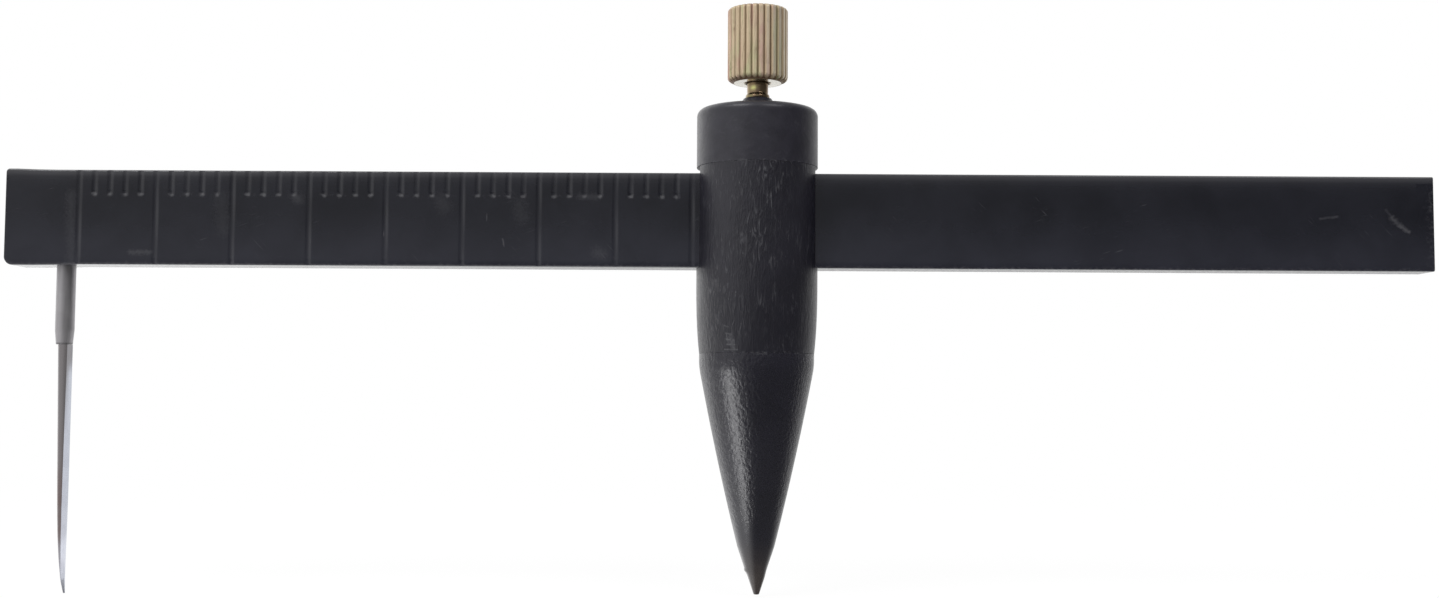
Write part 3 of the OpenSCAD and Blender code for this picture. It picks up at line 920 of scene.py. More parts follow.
@dataclass
class Beam:
    """The graduated bar."""

    left: float = -98.15
    length: float = 186.4
    foot: float = 42.4
    height: float = 12.4
    thickness: float = 5.0
    edge: float = 0.25
    end_round: float = 0.08
    heel: float = 1.0
    toe: float = 0.4
    swell: float = 0.12
    swell_top: Span = (2.5, 4.8)
    swell_foot: Span = (5.0, 9.5)
    first_line: float = 9.6
    line_step: float = 10.0
    lines: int = 10
    ticks: int = 4
    tick_length: float = 3.2
    line_width: float = 0.45
    line_reach: float = 1.1
    line_margin: float = 0.7
    station_gap: float = 2.5
    line_depth: float = 0.13
    waver: float = 0.25
    tick_run: float = 0.6
    rim: float = 0.7
    end_rim: float = 0.5
    rim_reach: float = 0.3
    # painted highlight: width and height of the pale blob at the foot of each tick
    tick_foot_highlight: Span = (0.5, 0.32)
    # painted highlight along the front's upper edge: its strength, its reach and the share of height where it
    # starts
    fade: float = 0.5
    highlight_reach: float = 0.5
    highlight_from: float = 0.9
    dust: float = 0.1
    finish: Finish = PlasticFinish(
        "beam_black", "beam_plastic", dark=(0.0048, 0.0051, 0.0085), pale=(0.0190, 0.0196, 0.0278),
        worn_and_highlight=(0.105, 0.104, 0.112), roughness=(0.12, 0.18), wave_size=7.0, pale_foot=42.4, pale_top=51.0,
        ior=1.45, rub=0.45, scratches=front_scratches())

    def line_places(self) -> tuple[np.ndarray, np.ndarray]:
        """Gives the places of the scale along X.

        Returns:
            The places of the long lines and of the short ticks.
        """
        long = self.left + self.first_line + self.line_step * np.arange(self.lines)
        steps = self.line_step * np.arange(1, self.ticks + 1) / (self.ticks + 1)
        return long, (long[:-1, None] + steps).ravel()

    def tick_end(self) -> float:
        """Gives the height at which the ticks end."""
        return self.foot + self.height - self.tick_length

    def stations(self) -> np.ndarray:
        """Gives the sections along X: close at both ends and across each line, wide elsewhere.

        Returns:
            Their places.
        """
        lines = np.concatenate(self.line_places())
        across = self.line_width * np.linspace(-1.2, 1.2, 17)
        turn = 1.0 - np.cos(np.linspace(0.0, QUARTER, 8))
        ends = np.concatenate([self.end_round * turn, self.heel * turn, self.toe * turn])
        right = self.left + self.length
        plain = np.arange(self.left + 1.5, right - 1.0, self.station_gap)
        clear = np.abs(plain[:, None] - lines).min(axis=1) > self.line_margin
        marked = (lines[:, None] + across).ravel()
        found = np.concatenate([self.left + ends, right - self.end_round * turn, marked, plain[clear]])
        return np.unique(np.round(found, 4))

    def section(self) -> np.ndarray:
        """Gives the closed outline of the bar, with more points where the ticks end.

        Returns:
            Y and Z of its points, in order.
        """
        y, top = self.thickness / 2.0, self.foot + self.height
        close = self.tick_end() + np.linspace(0.8, -0.6, 16)
        low = np.linspace(self.tick_end() - 1.0, self.foot + 0.9, 8)
        front = np.concatenate([np.linspace(top - 0.9, close[0] + 0.3, 3), close, low])
        turn = np.linspace(0.0, QUARTER, 6)[:, None]
        arc = self.edge * np.hstack([np.sin(turn), np.cos(turn)])
        corner = np.array([y, self.height / 2.0]) - self.edge
        middle = np.array([0.0, self.foot + self.height / 2.0])
        back = np.linspace(self.foot + 1.2, top - 1.2, 5)
        flat = np.array([-1.2, 0.0, 1.2])
        return np.concatenate([
            middle + (corner + arc) * [-1.0, 1.0],
            np.column_stack([np.full(len(front), -y), front]),
            middle + (corner + arc[::-1]) * [-1.0, -1.0],
            np.column_stack([flat, np.full(len(flat), self.foot)]),
            middle + (corner + arc) * [1.0, -1.0],
            np.column_stack([np.full(len(back), y), back]),
            middle + (corner + arc[::-1]) * [1.0, 1.0],
            np.column_stack([flat[::-1], np.full(len(flat), top)]),
        ])

    def groove(self, x: np.ndarray, z: np.ndarray) -> np.ndarray:
        """Gives the depth of the engraving at a place.

        It is the full depth times one minus a smooth step of the distance to the nearest line. A
        tick's lower end is round, and the depth wavers a little along every line.

        Args:
            x: Places along the bar.
            z: Heights.

        Returns:
            The depth below the front face.
        """
        long, ticks = self.line_places()
        reach = self.line_reach * self.line_width
        far = np.abs(x[..., None] - long).min(axis=-1)
        aside = np.abs(x[..., None] - ticks).min(axis=-1)
        below = np.maximum(self.tick_end() + 0.5 * reach / self.tick_run - z, 0.0)
        near = np.minimum(far, np.hypot(aside, self.tick_run * below))
        waver = 1.0 - self.waver + self.waver * np.sin(1.7 * x + 0.7 * z)
        return self.line_depth * waver * (1.0 - smooth_step(0.0, reach, near))

    def wear_and_highlight(self, points: np.ndarray, share: np.ndarray, front: np.ndarray, depth: np.ndarray) -> np.ndarray:
        """Gives the mark: above 0 at rubbed edges and as a painted highlight at the feet of ticks, below 0
        as a painted highlight along the front's upper edge and as dust in the engraving.

        The first are bell curves of the distance. The painted highlight along the upper edge is an
        exponential towards it, and the dust follows the depth of the engraving.

        Args:
            points: The bar's points.
            share: Share of the bar's height, for each column.
            front: Which columns lie in front.
            depth: Depth of the engraving.

        Returns:
            The mark of each point.
        """
        x, y, z = np.moveaxis(points, -1, 0)
        to_end = np.minimum(x - self.left, self.left + self.length - x)
        to_edge = np.minimum(share, 1.0 - share) * self.height
        rim = self.rim * bell(to_edge, self.rim_reach)
        rim = np.maximum(rim, self.end_rim * bell(to_end, self.rim_reach))
        aside = np.abs(x[:, :1] - self.line_places()[1]).min(axis=1)[:, None]
        # Painted highlight: pale blobs at the lower ends of the ticks.
        foot_highlights = bell(aside, self.tick_foot_highlight[0]) * bell(z - self.tick_end(), self.tick_foot_highlight[1])
        rim = np.maximum(rim, np.where(y < 0.0, foot_highlights, 0.0))
        # Painted highlight along the front's upper edge, with real dust in the engraving.
        fade = self.fade * np.exp((share - 1.0) * self.height / self.highlight_reach)
        fade = np.maximum(fade, self.dust * depth / self.line_depth)
        return np.where(front & ((share > self.highlight_from) | (fade > rim)), -fade, rim)

    def build(self) -> None:
        """Makes the bar: its outline carried along X, cut back at the ends and engraved in front."""
        x = self.stations()[:, None]
        outline = self.section()
        from_left, from_right = x - self.left, self.left + self.length - x
        inset = sagitta(self.end_round, from_left) + sagitta(self.end_round, from_right)
        low = self.foot + inset + sagitta(self.heel, from_left)
        high = self.foot + self.height - inset - sagitta(self.toe, from_left)
        half = self.thickness / 2.0
        y = outline[:, 0] * (half - inset) / half
        share = (outline[:, 1] - self.foot) / self.height
        z = low + share * (high - low)
        upper, lower = smooth_step(*self.swell_top, from_left), smooth_step(*self.swell_foot, from_left)
        z = z + self.swell * (1.0 - np.where(share > 0.5, upper, lower)) * (2.0 * share - 1.0)
        depth = self.groove(x, z)
        points = lattice(x, np.where(y < 0.0, np.maximum(y, depth - half), y), z)
        front = outline[:, 0] < self.edge - half + 0.001
        mark = self.wear_and_highlight(points, share, front, depth)
        shell = Shell()
        shell.grid(points, mark, turn=True)
        shell.lid(points[0], mark[0])
        shell.lid(points[-1], mark[-1])
        install(shell.piece("beam_bar", 50.0), Body.BEAM, "beam", self.finish)


@dataclass
class Blade:
    """The steel sleeve under the beam and the blade in it."""

    x: float = -90.9
    foot: float = 32.0
    sleeve_length: float = 18.4
    sleeve_r: float = 1.2
    bore_r: float = 0.68
    bore_depth: float = 1.5
    taper: float = 1.9
    mouth_r: float = 1.03
    mouth_edge: float = 0.012
    mouth_shade: float = 0.6
    length: float = 32.3
    thickness: float = 1.65
    depth: float = 1.7
    spine: float = 0.75
    tip_shift: float = 0.95
    tip_width: float = 0.16
    tip_depth: float = 0.3
    outer_run: float = 0.48
    edge_shift: float = 0.8
    edge_drift: float = -0.22
    edge_margin: float = 0.25
    bevel_start: float = 0.2
    ground_span: Span = (0.68, 0.9)
    ground_share: float = 0.65
    shade: float = 0.85
    shade_from: float = 0.05
    shade_to: float = 0.13
    shade_to_edge: float = 0.42
    tip_shade: float = 0.16
    tip_shade_span: Span = (0.5, 0.85)
    tang_r: float = 0.65
    tang_span: Span = (-0.2, 1.4)
    # the sleeve's dark colour is painted shade at its mouth, and a stain in spots
    sleeve_finish: Finish = SteelFinish(
        "sleeve_grey", "sleeve_steel", (0.38, 0.37, 0.382), (0.34, 0.332, 0.345), (0.03, 0.026, 0.024),
        (0.40, 0.48), stains=0.06)
    blade_finish: Finish = BladeFinish(
        "blade_ground", "blade_steel", (0.58, 0.607, 0.685), (0.52, 0.545, 0.62), (0.20, 0.188, 0.192),
        (0.18, 0.26), stains=0.0)

    def build_sleeve(self) -> None:
        """Makes the sleeve: a tube turned about its axis, drawn in a little at its mouth."""
        top = self.foot + self.sleeve_length
        outside = rounded_path([
            (self.bore_r, self.foot + self.bore_depth, 0.0), (self.bore_r, self.foot + 0.2, 0.05),
            (self.mouth_r, self.foot, 0.04), (self.sleeve_r, self.foot + self.taper, 2.0),
            (self.sleeve_r, top, 0.2), (0.0, top, 0.0)])
        points = revolve(outside, 64, self.x)
        low = outside[:, 1] < self.foot + self.bore_depth + 0.1
        # Painted shade: the mouth and its bore are marked dark, and the bore's end fully.
        shaded_mouth = low & (outside[:, 0] < self.mouth_r + self.mouth_edge)
        shell = Shell()
        shell.grid(points, np.where(shaded_mouth, self.mouth_shade, 0.0)[:, None], turn=True)
        shell.lid(points[0], 1.0)
        install(shell.piece("blade_tube"), Body.BEAM, "blade_sleeve", self.sleeve_finish)

    def flanks(self, t: np.ndarray) -> tuple[np.ndarray, np.ndarray, np.ndarray]:
        """Gives the blade's two flanks and its edge along X, from the shoulder to the tip.

        Each flank runs from half the thickness to half the tip's width, the inner one late, and
        the edge drifts in a straight line and stays between them.

        Args:
            t: Share of the way from the shoulder to the tip.

        Returns:
            The outer flank, the inner flank and the edge, from the sleeve's axis.
        """
        half, tip = self.thickness / 2.0, self.tip_width / 2.0
        inner = half + (self.tip_shift + tip - half) * t**16
        bow = self.outer_run * t + (1.0 - self.outer_run) * t**8
        outer = -half + (self.tip_shift - tip + half) * bow
        edge = np.maximum(self.edge_shift + self.edge_drift * t, outer + self.edge_margin * (inner - outer))
        return outer, inner, edge

    def build_blade(self) -> None:
        """Makes the blade: its section carried down from the shoulder, with a round tang.

        The section is a spine, a flat flank and a bevel up to the edge, and on the other side a
        quarter of an ellipse from the edge round to the outer flank. The mark is 1 on the rod's
        own surface, less where it is ground, and rises again at the shoulder and near the tip.
        """
        t = np.sin(np.linspace(0.0, QUARTER, 70))[:, None]
        outer, inner, edge = self.flanks(t)
        share = 1.0 - (1.0 - self.tip_depth / self.depth) * t**6
        spine, front = self.spine * share, (self.spine - self.depth) * share
        bevel = self.bevel_start * spine
        turn = np.concatenate([[0.0, 0.02], np.linspace(0.12, QUARTER, 13)])
        x = self.x + np.hstack([outer, inner, inner, edge + (outer - edge) * np.sin(turn)])
        y = np.hstack([spine, spine, bevel, bevel + (front - bevel) * np.cos(turn)])
        points = lattice(x, y, self.foot - self.length * t)
        rod = np.concatenate([[1.0, 0.0, 0.0, 0.0], np.ones(len(turn) - 1)])
        rod = rod * (1.0 - self.ground_share * smooth_step(*self.ground_span, t))
        at_edge = np.arange(rod.shape[1]) == 3
        slant = np.where(at_edge, self.shade_to_edge, self.shade_to)
        rod = np.maximum(rod, self.shade * (1.0 - smooth_step(self.shade_from, slant, t)))
        rod = np.maximum(rod, self.tip_shade * smooth_step(*self.tip_shade_span, t))
        shell = Shell()
        shell.grid(points, rod, turn=True)
        shell.lid(points[0], rod[0])
        shell.lid(points[-1])
        low, high = (self.foot + end for end in self.tang_span)
        tang = np.array([(0.0, low), (self.tang_r, low), (self.tang_r, high), (0.0, high)])
        shell.grid(revolve(tang, 24, self.x), turn=True)
        install(shell.piece("blade_ground", 30.0), Body.BEAM, "blade", self.blade_finish)


@dataclass
class Post:
    """The post that the beam slides through: nose, slotted barrel and cap."""

    seam: float = 31.25
    floor: float = 42.4
    cap_foot: float = 55.75
    barrel_r: float = 7.975
    slot: float = 2.6
    slot_soft: float = 0.04
    chamfer: float = 0.03
    seam_round: float = 0.02
    nose_r: float = 7.55
    cone_share: float = 0.94
    land: float = 29.6
    land_round: float = 10.0
    point_r: float = 2.425
    point_top: float = 6.2
    tip_r: float = 0.35
    tip_round: float = 0.12
    tip_bend: float = 0.085
    bend_span: Span = (2.0, 3.4)
    burr: float = 0.1
    burr_height: float = 3.1
    burr_half: float = 0.22
    nose_belly: float = 0.18
    cap_r: float = 7.995
    cap_top: float = 63.55
    cap_round: float = 1.0
    lip_base: float = 2.8
    lip_top: float = 1.85
    lip_height: float = 1.5
    lip_fillet: float = 0.5
    lip_round: float = 0.12
    hole_round: float = 0.03
    hole_r: float = 1.62
    insert_r: float = 2.33
    insert_top: float = 61.78
    flange_r: float = 2.83
    flange_top: float = 56.58
    rim_depth: float = 0.3
    rim_reach: float = 0.2
    foot_rim_reach: float = 0.25
    columns: int = 200
    barrel_finish: Finish = PlasticFinish(
        "barrel_black", "barrel_plastic", (0.0076, 0.0071, 0.0120), (0.0112, 0.0106, 0.0170),
        roughness=(0.28, 0.38), grain_size=0.3, grain_depth=0.006,
        streaks=0.75, streak_width=0.4, streak_length=1.9, streak_depth=0.12,
        # the band lays a painted highlight on the flecks; the scratches are flecks near the seam, partly real
        # and partly painted highlight
        band_x=-15.1, band_lean=0.3, band_half=3.4, scuffs=0.0, scratches=(
            Scratch((-3.4, -6.8, 33.4), (-3.1, -6.9, 31.9), 1.0, 0.6),
            Scratch((-4.2, -6.32, 31.65), (-2.6, -7.13, 31.6), 0.3, 0.9),
            Scratch((-3.9, -6.59, 32.3), (-2.9, -7.09, 32.25), 0.35, 0.8),
            Scratch((-4.0, -6.59, 32.9), (-3.1, -7.06, 32.8), 0.35, 0.75),
            Scratch((-4.1, -6.59, 33.7), (-3.3, -7.03, 33.5), 0.3, 0.6),
            Scratch((-4.3, -6.54, 34.7), (-3.8, -6.85, 34.5), 0.3, 0.55)))
    nose_finish: Finish = NoseFinish(
        "nose_black", "nose_plastic", (0.0083, 0.0078, 0.0130), (0.0122, 0.0115, 0.0184),
        roughness=(0.22, 0.30), grain_size=0.4, grain_depth=0.1, grain_draw=1.5, grain_foot=7.0, scuffs=0.0,
        scratches=(Scratch((-0.1, -7.5, 31.05), (1.1, -7.45, 31.05), 0.2, 0.6),))
    cap_finish: Finish = PlasticFinish(
        "cap_black", "cap_plastic", (0.0112, 0.0105, 0.0168), (0.0168, 0.0158, 0.0240),
        roughness=(0.34, 0.42), grain_depth=0.004, wave_size=2.6, wave_depth=0.08, streaks=0.12,
        streak_width=1.3, streak_length=0.7, scuffs=0.0)

    def rim(self, path: np.ndarray, height: float, radius: float, reach: float) -> np.ndarray:
        """Gives the mark of a rubbed rim: a bell curve of the distance in height, near the wall only."""
        wall = path[:, :1] > radius - self.rim_depth
        return bell(path[:, 1:] - height, reach) * wall

    def build_nose(self) -> bpy.types.Object:
        """Makes the nose: flat tip, sharpened point, cone with a slight belly, and straight band.

        The cone's radius is a straight line plus the belly times 4 t (1 - t). The point has a burr
        on one side, a bell curve of height, and leans a little below it.

        Returns:
            The nose.
        """
        t = np.linspace(0.0, self.cone_share, 60)
        radius = self.point_r + (self.nose_r - self.point_r) * t + self.nose_belly * 4.0 * t * (1.0 - t)
        cone = np.column_stack([radius, self.point_top + (self.land - self.point_top) * t])
        tip = rounded_path([
            (0.0, 0.0, 0.0), (self.tip_r, 0.0, self.tip_round), (self.point_r, self.point_top, 0.0)], 0.2)
        band = rounded_path([
            (*cone[-1], 0.0), (self.nose_r, self.land, self.land_round),
            (self.nose_r, self.seam - self.chamfer, self.seam_round),
            (self.nose_r - self.chamfer, self.seam, self.seam_round), (0.0, self.seam, 0.0)])
        path = np.concatenate([tip[:-1], cone, band[1:]])
        points = revolve(path, self.columns)
        x, y, z = np.moveaxis(points, -1, 0)
        side = np.clip(-x / np.maximum(np.hypot(x, y), 1e-6), 0.0, 1.0)
        burr = 1.0 + self.burr * side**6 * bell(z - self.burr_height, self.burr_half)
        points[..., :2] *= burr[..., None]
        points[..., 0] += self.tip_bend * (1.0 - smooth_step(*self.bend_span, z))
        shell = Shell()
        shell.grid(points, self.rim(path, self.seam, self.nose_r, self.rim_reach), turn=True)
        nose = shell.piece("nose_cone")
        install(nose, Body.POST, "point_cone", self.nose_finish)
        return nose

    def build_barrel(self) -> None:
        """Makes the barrel: a swelling foot, the slot's floor, and an ear on each side of the slot.

        The foot's radius is the nose's plus the rest times one minus (1 - t) cubed. An ear is
        the part of the round section beyond the slot's side.
        """
        corner = math.asin(self.slot / self.barrel_r)
        ear, side = 88, 24
        stops = np.concatenate([
            np.linspace(-corner, corner, side, endpoint=False),
            np.linspace(corner, math.pi - corner, ear, endpoint=False),
            np.linspace(math.pi - corner, math.pi + corner, side, endpoint=False),
            np.linspace(math.pi + corner, FULL - corner, ear, endpoint=False)])
        t = np.linspace(0.0, 1.0, 40)
        swell = np.column_stack([
            self.nose_r + (self.barrel_r - self.nose_r) * (1.0 - (1.0 - t) ** 3),
            self.seam + self.chamfer + (self.floor - self.seam - self.chamfer) * t])
        path = np.concatenate([[(0.0, self.seam), (self.nose_r - self.chamfer, self.seam)], swell])
        shell = Shell()
        foot = around(path[:, :1], stops, path[:, 1:])
        shell.grid(foot, self.rim(path, self.seam, self.nose_r, self.foot_rim_reach), turn=True)
        chord = np.linspace(-1.0, 1.0, 14)
        across = self.barrel_r * np.sin(np.linspace(-corner, corner, side + 1))[:, None]
        shell.grid(lattice(np.sqrt(self.barrel_r**2 - across**2) * chord, across, self.floor))
        rise = np.concatenate([np.linspace(self.floor, self.cap_foot - self.chamfer, 34), [self.cap_foot]])
        inset = np.where(np.arange(len(rise)) == len(rise) - 1, self.chamfer, 0.0)
        turn = np.linspace(corner, math.pi - corner, ear + 1)
        radius = self.barrel_r - inset[:, None] * np.sin(turn) ** 0.25
        flat = np.broadcast_to(self.barrel_r * math.cos(corner) * chord[1:-1], (len(rise), len(chord) - 2))
        ring_x = np.hstack([radius * np.cos(turn), flat])
        ring_y = np.hstack([np.maximum(radius * np.sin(turn), self.slot), np.full(flat.shape, self.slot)])
        for sign in (-1.0, 1.0):
            ring = lattice(ring_x, sign * ring_y, rise[:, None])
            shell.grid(ring, turn=True)
            shell.lid(ring[-1])
        piece = shell.piece("barrel_slotted")
        soften(piece, self.slot_soft)
        install(piece, Body.POST, "post_barrel", self.barrel_finish)

    def build_cap(self) -> None:
        """Makes the cap, a turned ring: round upper edge, lip round the screw and the insert's pocket."""
        lip = self.cap_top + self.lip_height
        path = rounded_path([
            (self.flange_r, self.cap_foot, 0.0), (self.cap_r - self.chamfer, self.cap_foot, self.seam_round),
            (self.cap_r, self.cap_foot + self.chamfer, self.seam_round),
            (self.cap_r, self.cap_top, self.cap_round), (self.lip_base, self.cap_top, self.lip_fillet),
            (self.lip_top, lip, self.lip_round), (self.hole_r, lip, self.hole_round),
            (self.hole_r, self.insert_top, 0.0),
            (self.insert_r, self.insert_top, 0.0), (self.insert_r, self.flange_top, 0.0),
            (self.flange_r, self.flange_top, 0.0), (self.flange_r, self.cap_foot, 0.0)], 0.4, 8)[:-1]
        shell = Shell()
        edge = self.rim(path, self.cap_foot, self.cap_r, self.rim_reach)
        shell.grid(revolve(path, self.columns), edge, turn=True, loop=True)
        install(shell.piece("cap_round"), Body.POST, "head_cap", self.cap_finish)

    def dress_insert(self) -> None:
        """Gives the CAD model's threaded insert its brass."""
        brass = BrassFinish("insert_turned", "insert_brass")
        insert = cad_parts["threaded_insert"]
        for place in insert.material_slots:
            place.material = brass.material()
        LOG.info("threaded_insert keeps its CAD shape with %s", brass.name)


@dataclass
class ClampScrew:
    """The knurled knob and its threaded stud."""

    foot: float = 54.8
    foot_r: float = 1.2
    thread_top: float = 65.55
    thread_r: float = 1.5
    thread_depth: float = 0.3
    thread_mark: float = 0.6
    thread_begin: Span = (0.1, 0.6)
    thread_end: Span = (-0.45, -0.1)
    pitch: float = 0.5
    collar: float = 65.25
    collar_rise: float = 0.1
    collar_half: float = 0.28
    neck_r: float = 1.41
    neck_top: float = 73.15
    # painted highlight on the neck: strength, height, turn and half sizes
    glint: float = 0.9
    glint_height: float = 66.35
    glint_turn: float = 4.28
    glint_half: Span = (0.26, 0.3)
    knob_foot: float = 67.15
    knob_height: float = 9.9
    knob_r: float = 4.0
    ridges: int = 28
    ridge_height: float = 0.28
    ridge_half: float = 0.43
    ridge_power: float = 4.2
    ridge_foot: float = 0.1
    ridge_uneven: Span = (0.1, 0.05)
    groove_brown: float = 0.55
    knob_round: float = 0.45
    foot_height: float = 0.75
    foot_inset: float = 0.5
    # painted shadow below the ridges' lower ends
    foot_shadow: float = 0.95
    foot_shadow_span: Span = (0.3, 0.8)
    # painted dark line along the crests on the side away from the shade
    crest_line: float = 0.3
    crest_line_half: float = 0.07
    # painted highlight on the crests of the shaded side
    crest_sheen: float = 0.55
    crest_sheen_half: float = 0.2
    recess_r: float = 1.9
    recess_depth: float = 0.4
    bore_r: float = 1.44
    bore_gap: float = 0.03
    under_rim: float = 0.97
    # marks under the knob: brown at the outer edge, painted reflection across the underside, painted shade in
    # the recess and bore
    under_sheen_and_shade: tuple[float, ...] = (0.6, -0.9, -0.9, 0.8, 0.9)
    stud_finish: Finish = PlatedFinish(
        "stud_plated", "zinc_steel", tan=(0.34, 0.25, 0.155), pink=(0.31, 0.205, 0.16),
        green=(0.37, 0.40, 0.17), patina_and_shade=(0.10, 0.062, 0.04), painted_sheen=(0.60, 0.60, 0.24),
        roughness=(0.14, 0.24), darkness=0.45, metallic=1.0)
    knob_finish: Finish = PlatedFinish("knob_plated", "zinc_steel", lines=0.55)

    def build_stud(self) -> None:
        """Makes the stud: radius less the thread's depth times a triangle wave of height and turn.

        The thread runs out in a collar, a flat bell curve of height. The mark is up in the thread,
        and down in a painted highlight on the neck, a bell curve of height times one of the angle.
        """
        z = np.concatenate([
            np.linspace(self.foot, self.thread_top, 220),
            np.linspace(self.thread_top + 0.12, self.neck_top, 36)])[:, None]
        turn = np.linspace(0.0, 1.0, 48, endpoint=False)
        wave = np.abs(2.0 * ((z / self.pitch - turn) % 1.0) - 1.0)
        begin, end = self.foot + np.array(self.thread_begin), self.collar + np.array(self.thread_end)
        cut = np.clip(1.2 - 1.5 * wave, 0.0, 1.0) * smooth_step(*begin, z) * (1.0 - smooth_step(*end, z))
        radius = self.thread_r - self.thread_depth * cut
        radius = radius + self.collar_rise * bell(z - self.collar, self.collar_half, 4)
        radius = np.minimum(radius, self.foot_r + (z - self.foot))
        radius = np.where(z > self.thread_top + 0.05, self.neck_r, radius)
        angle = FULL * turn
        points = around(radius, angle, z)
        tall, wide = self.glint_half
        # Painted highlight on the neck, in the plating's pale colour.
        glint = bell(z - self.glint_height, tall) * bell(angle - self.glint_turn, wide)
        shell = Shell()
        shell.grid(points, self.thread_mark * cut - self.glint * glint, turn=True)
        shell.lid(points[0])
        shell.lid(points[-1])
        install(shell.piece("stud_threaded", 60.0), Body.STUD, "clamp_stud", self.stud_finish)

    def build_knob(self) -> None:
        """Makes the knob: a turned body with upright ridges whose lower ends are round.

        On the wall a point's distance from its ridge's line, in the unrolled surface, is d. The
        wall is the crest's outline less the ridge's height times a power of d over the half width.
        The rest is the turned outline: underside, recess and bore. The grooves are brown with patina,
        and painted shade makes them browner on the +X side and below the ridges' ends; the crests on
        that side carry a painted highlight, and those on the other side a painted dark line. The
        underside is painted pale as a reflection, and the recess and bore dark as shade.
        """
        top = self.knob_foot + self.knob_height
        z = np.concatenate([
            np.linspace(self.knob_foot, self.knob_foot + 1.1, 24),
            np.linspace(self.knob_foot + 1.5, top - self.knob_round - 0.2, 16),
            top - self.knob_round * (1.0 - np.sin(np.linspace(0.0, QUARTER, 9)))])[:, None]
        to_foot = np.clip(1.0 - (z - self.knob_foot) / self.foot_height, 0.0, 1.0)
        crest = self.knob_r - sagitta(self.knob_round, top - z) - self.foot_inset * to_foot**2
        turn = np.linspace(0.0, 1.0, self.ridges * 16, endpoint=False)
        angle = FULL * turn
        slow, fast = self.ridge_uneven
        uneven = slow * np.sin(3.0 * angle) + fast * np.sin(5.0 * angle + 1.0)
        aside = ((turn * self.ridges + uneven) % 1.0 - 0.5) * FULL * self.knob_r / self.ridges
        below = np.maximum(self.knob_foot + self.ridge_half + self.ridge_foot - z, 0.0)
        groove = np.clip(np.hypot(aside, below) / self.ridge_half, 0.0, 1.0) ** self.ridge_power
        wall = around(crest - self.ridge_height * groove, angle, z)
        # Painted shade on the +X side: grooves browner and wider there, a painted highlight on its crests,
        # and a painted dark line on the other side's crests.
        shaded_side = (0.5 + 0.5 * np.cos(angle + 0.1)) ** 2
        stain_and_shade = self.groove_brown + (1.0 - self.groove_brown) * shaded_side
        mark = stain_and_shade * groove ** (1.0 - 0.5 * shaded_side)
        mark = mark + self.crest_line * (1.0 - shaded_side) * bell(aside, self.crest_line_half)
        # Painted shadow below the ridges' lower ends.
        at_foot = 1.0 - smooth_step(*self.foot_shadow_span, z - self.knob_foot)
        mark = np.maximum(mark, self.foot_shadow * groove * at_foot)
        mark = mark - self.crest_sheen * shaded_side * bell(aside, self.crest_sheen_half)
        shell = Shell()
        shell.grid(wall, mark, turn=True)
        shell.lid(wall[-1])
        # Painted reflection across the underside, painted shade in the recess and bore.
        under = np.array([
            (self.recess_r, self.knob_foot),
            (self.bore_r, self.knob_foot + self.recess_depth), (self.bore_r, self.neck_top + self.bore_gap)])
        rings = around(under[:, :1], angle, under[:, 1:])
        rings = np.concatenate([wall[:1], wall[:1] * [self.under_rim, self.under_rim, 1.0], rings])
        shell.grid(rings, np.array(self.under_sheen_and_shade)[:, None], turn=True)
        shell.lid(rings[-1], self.under_sheen_and_shade[-1])
        install(shell.piece("knob_knurled", 40.0), Body.KNOB, "clamp_knob", self.knob_finish)


def shift(place: Place) -> Matrix:
    """Gives the move to a place."""
    return Matrix.Translation(Vector(place) * MM)


def rotation(angle: float, axis: str) -> Matrix:
    """Gives a turn by an angle in degrees."""
    return Matrix.Rotation(math.radians(angle), 4, axis)


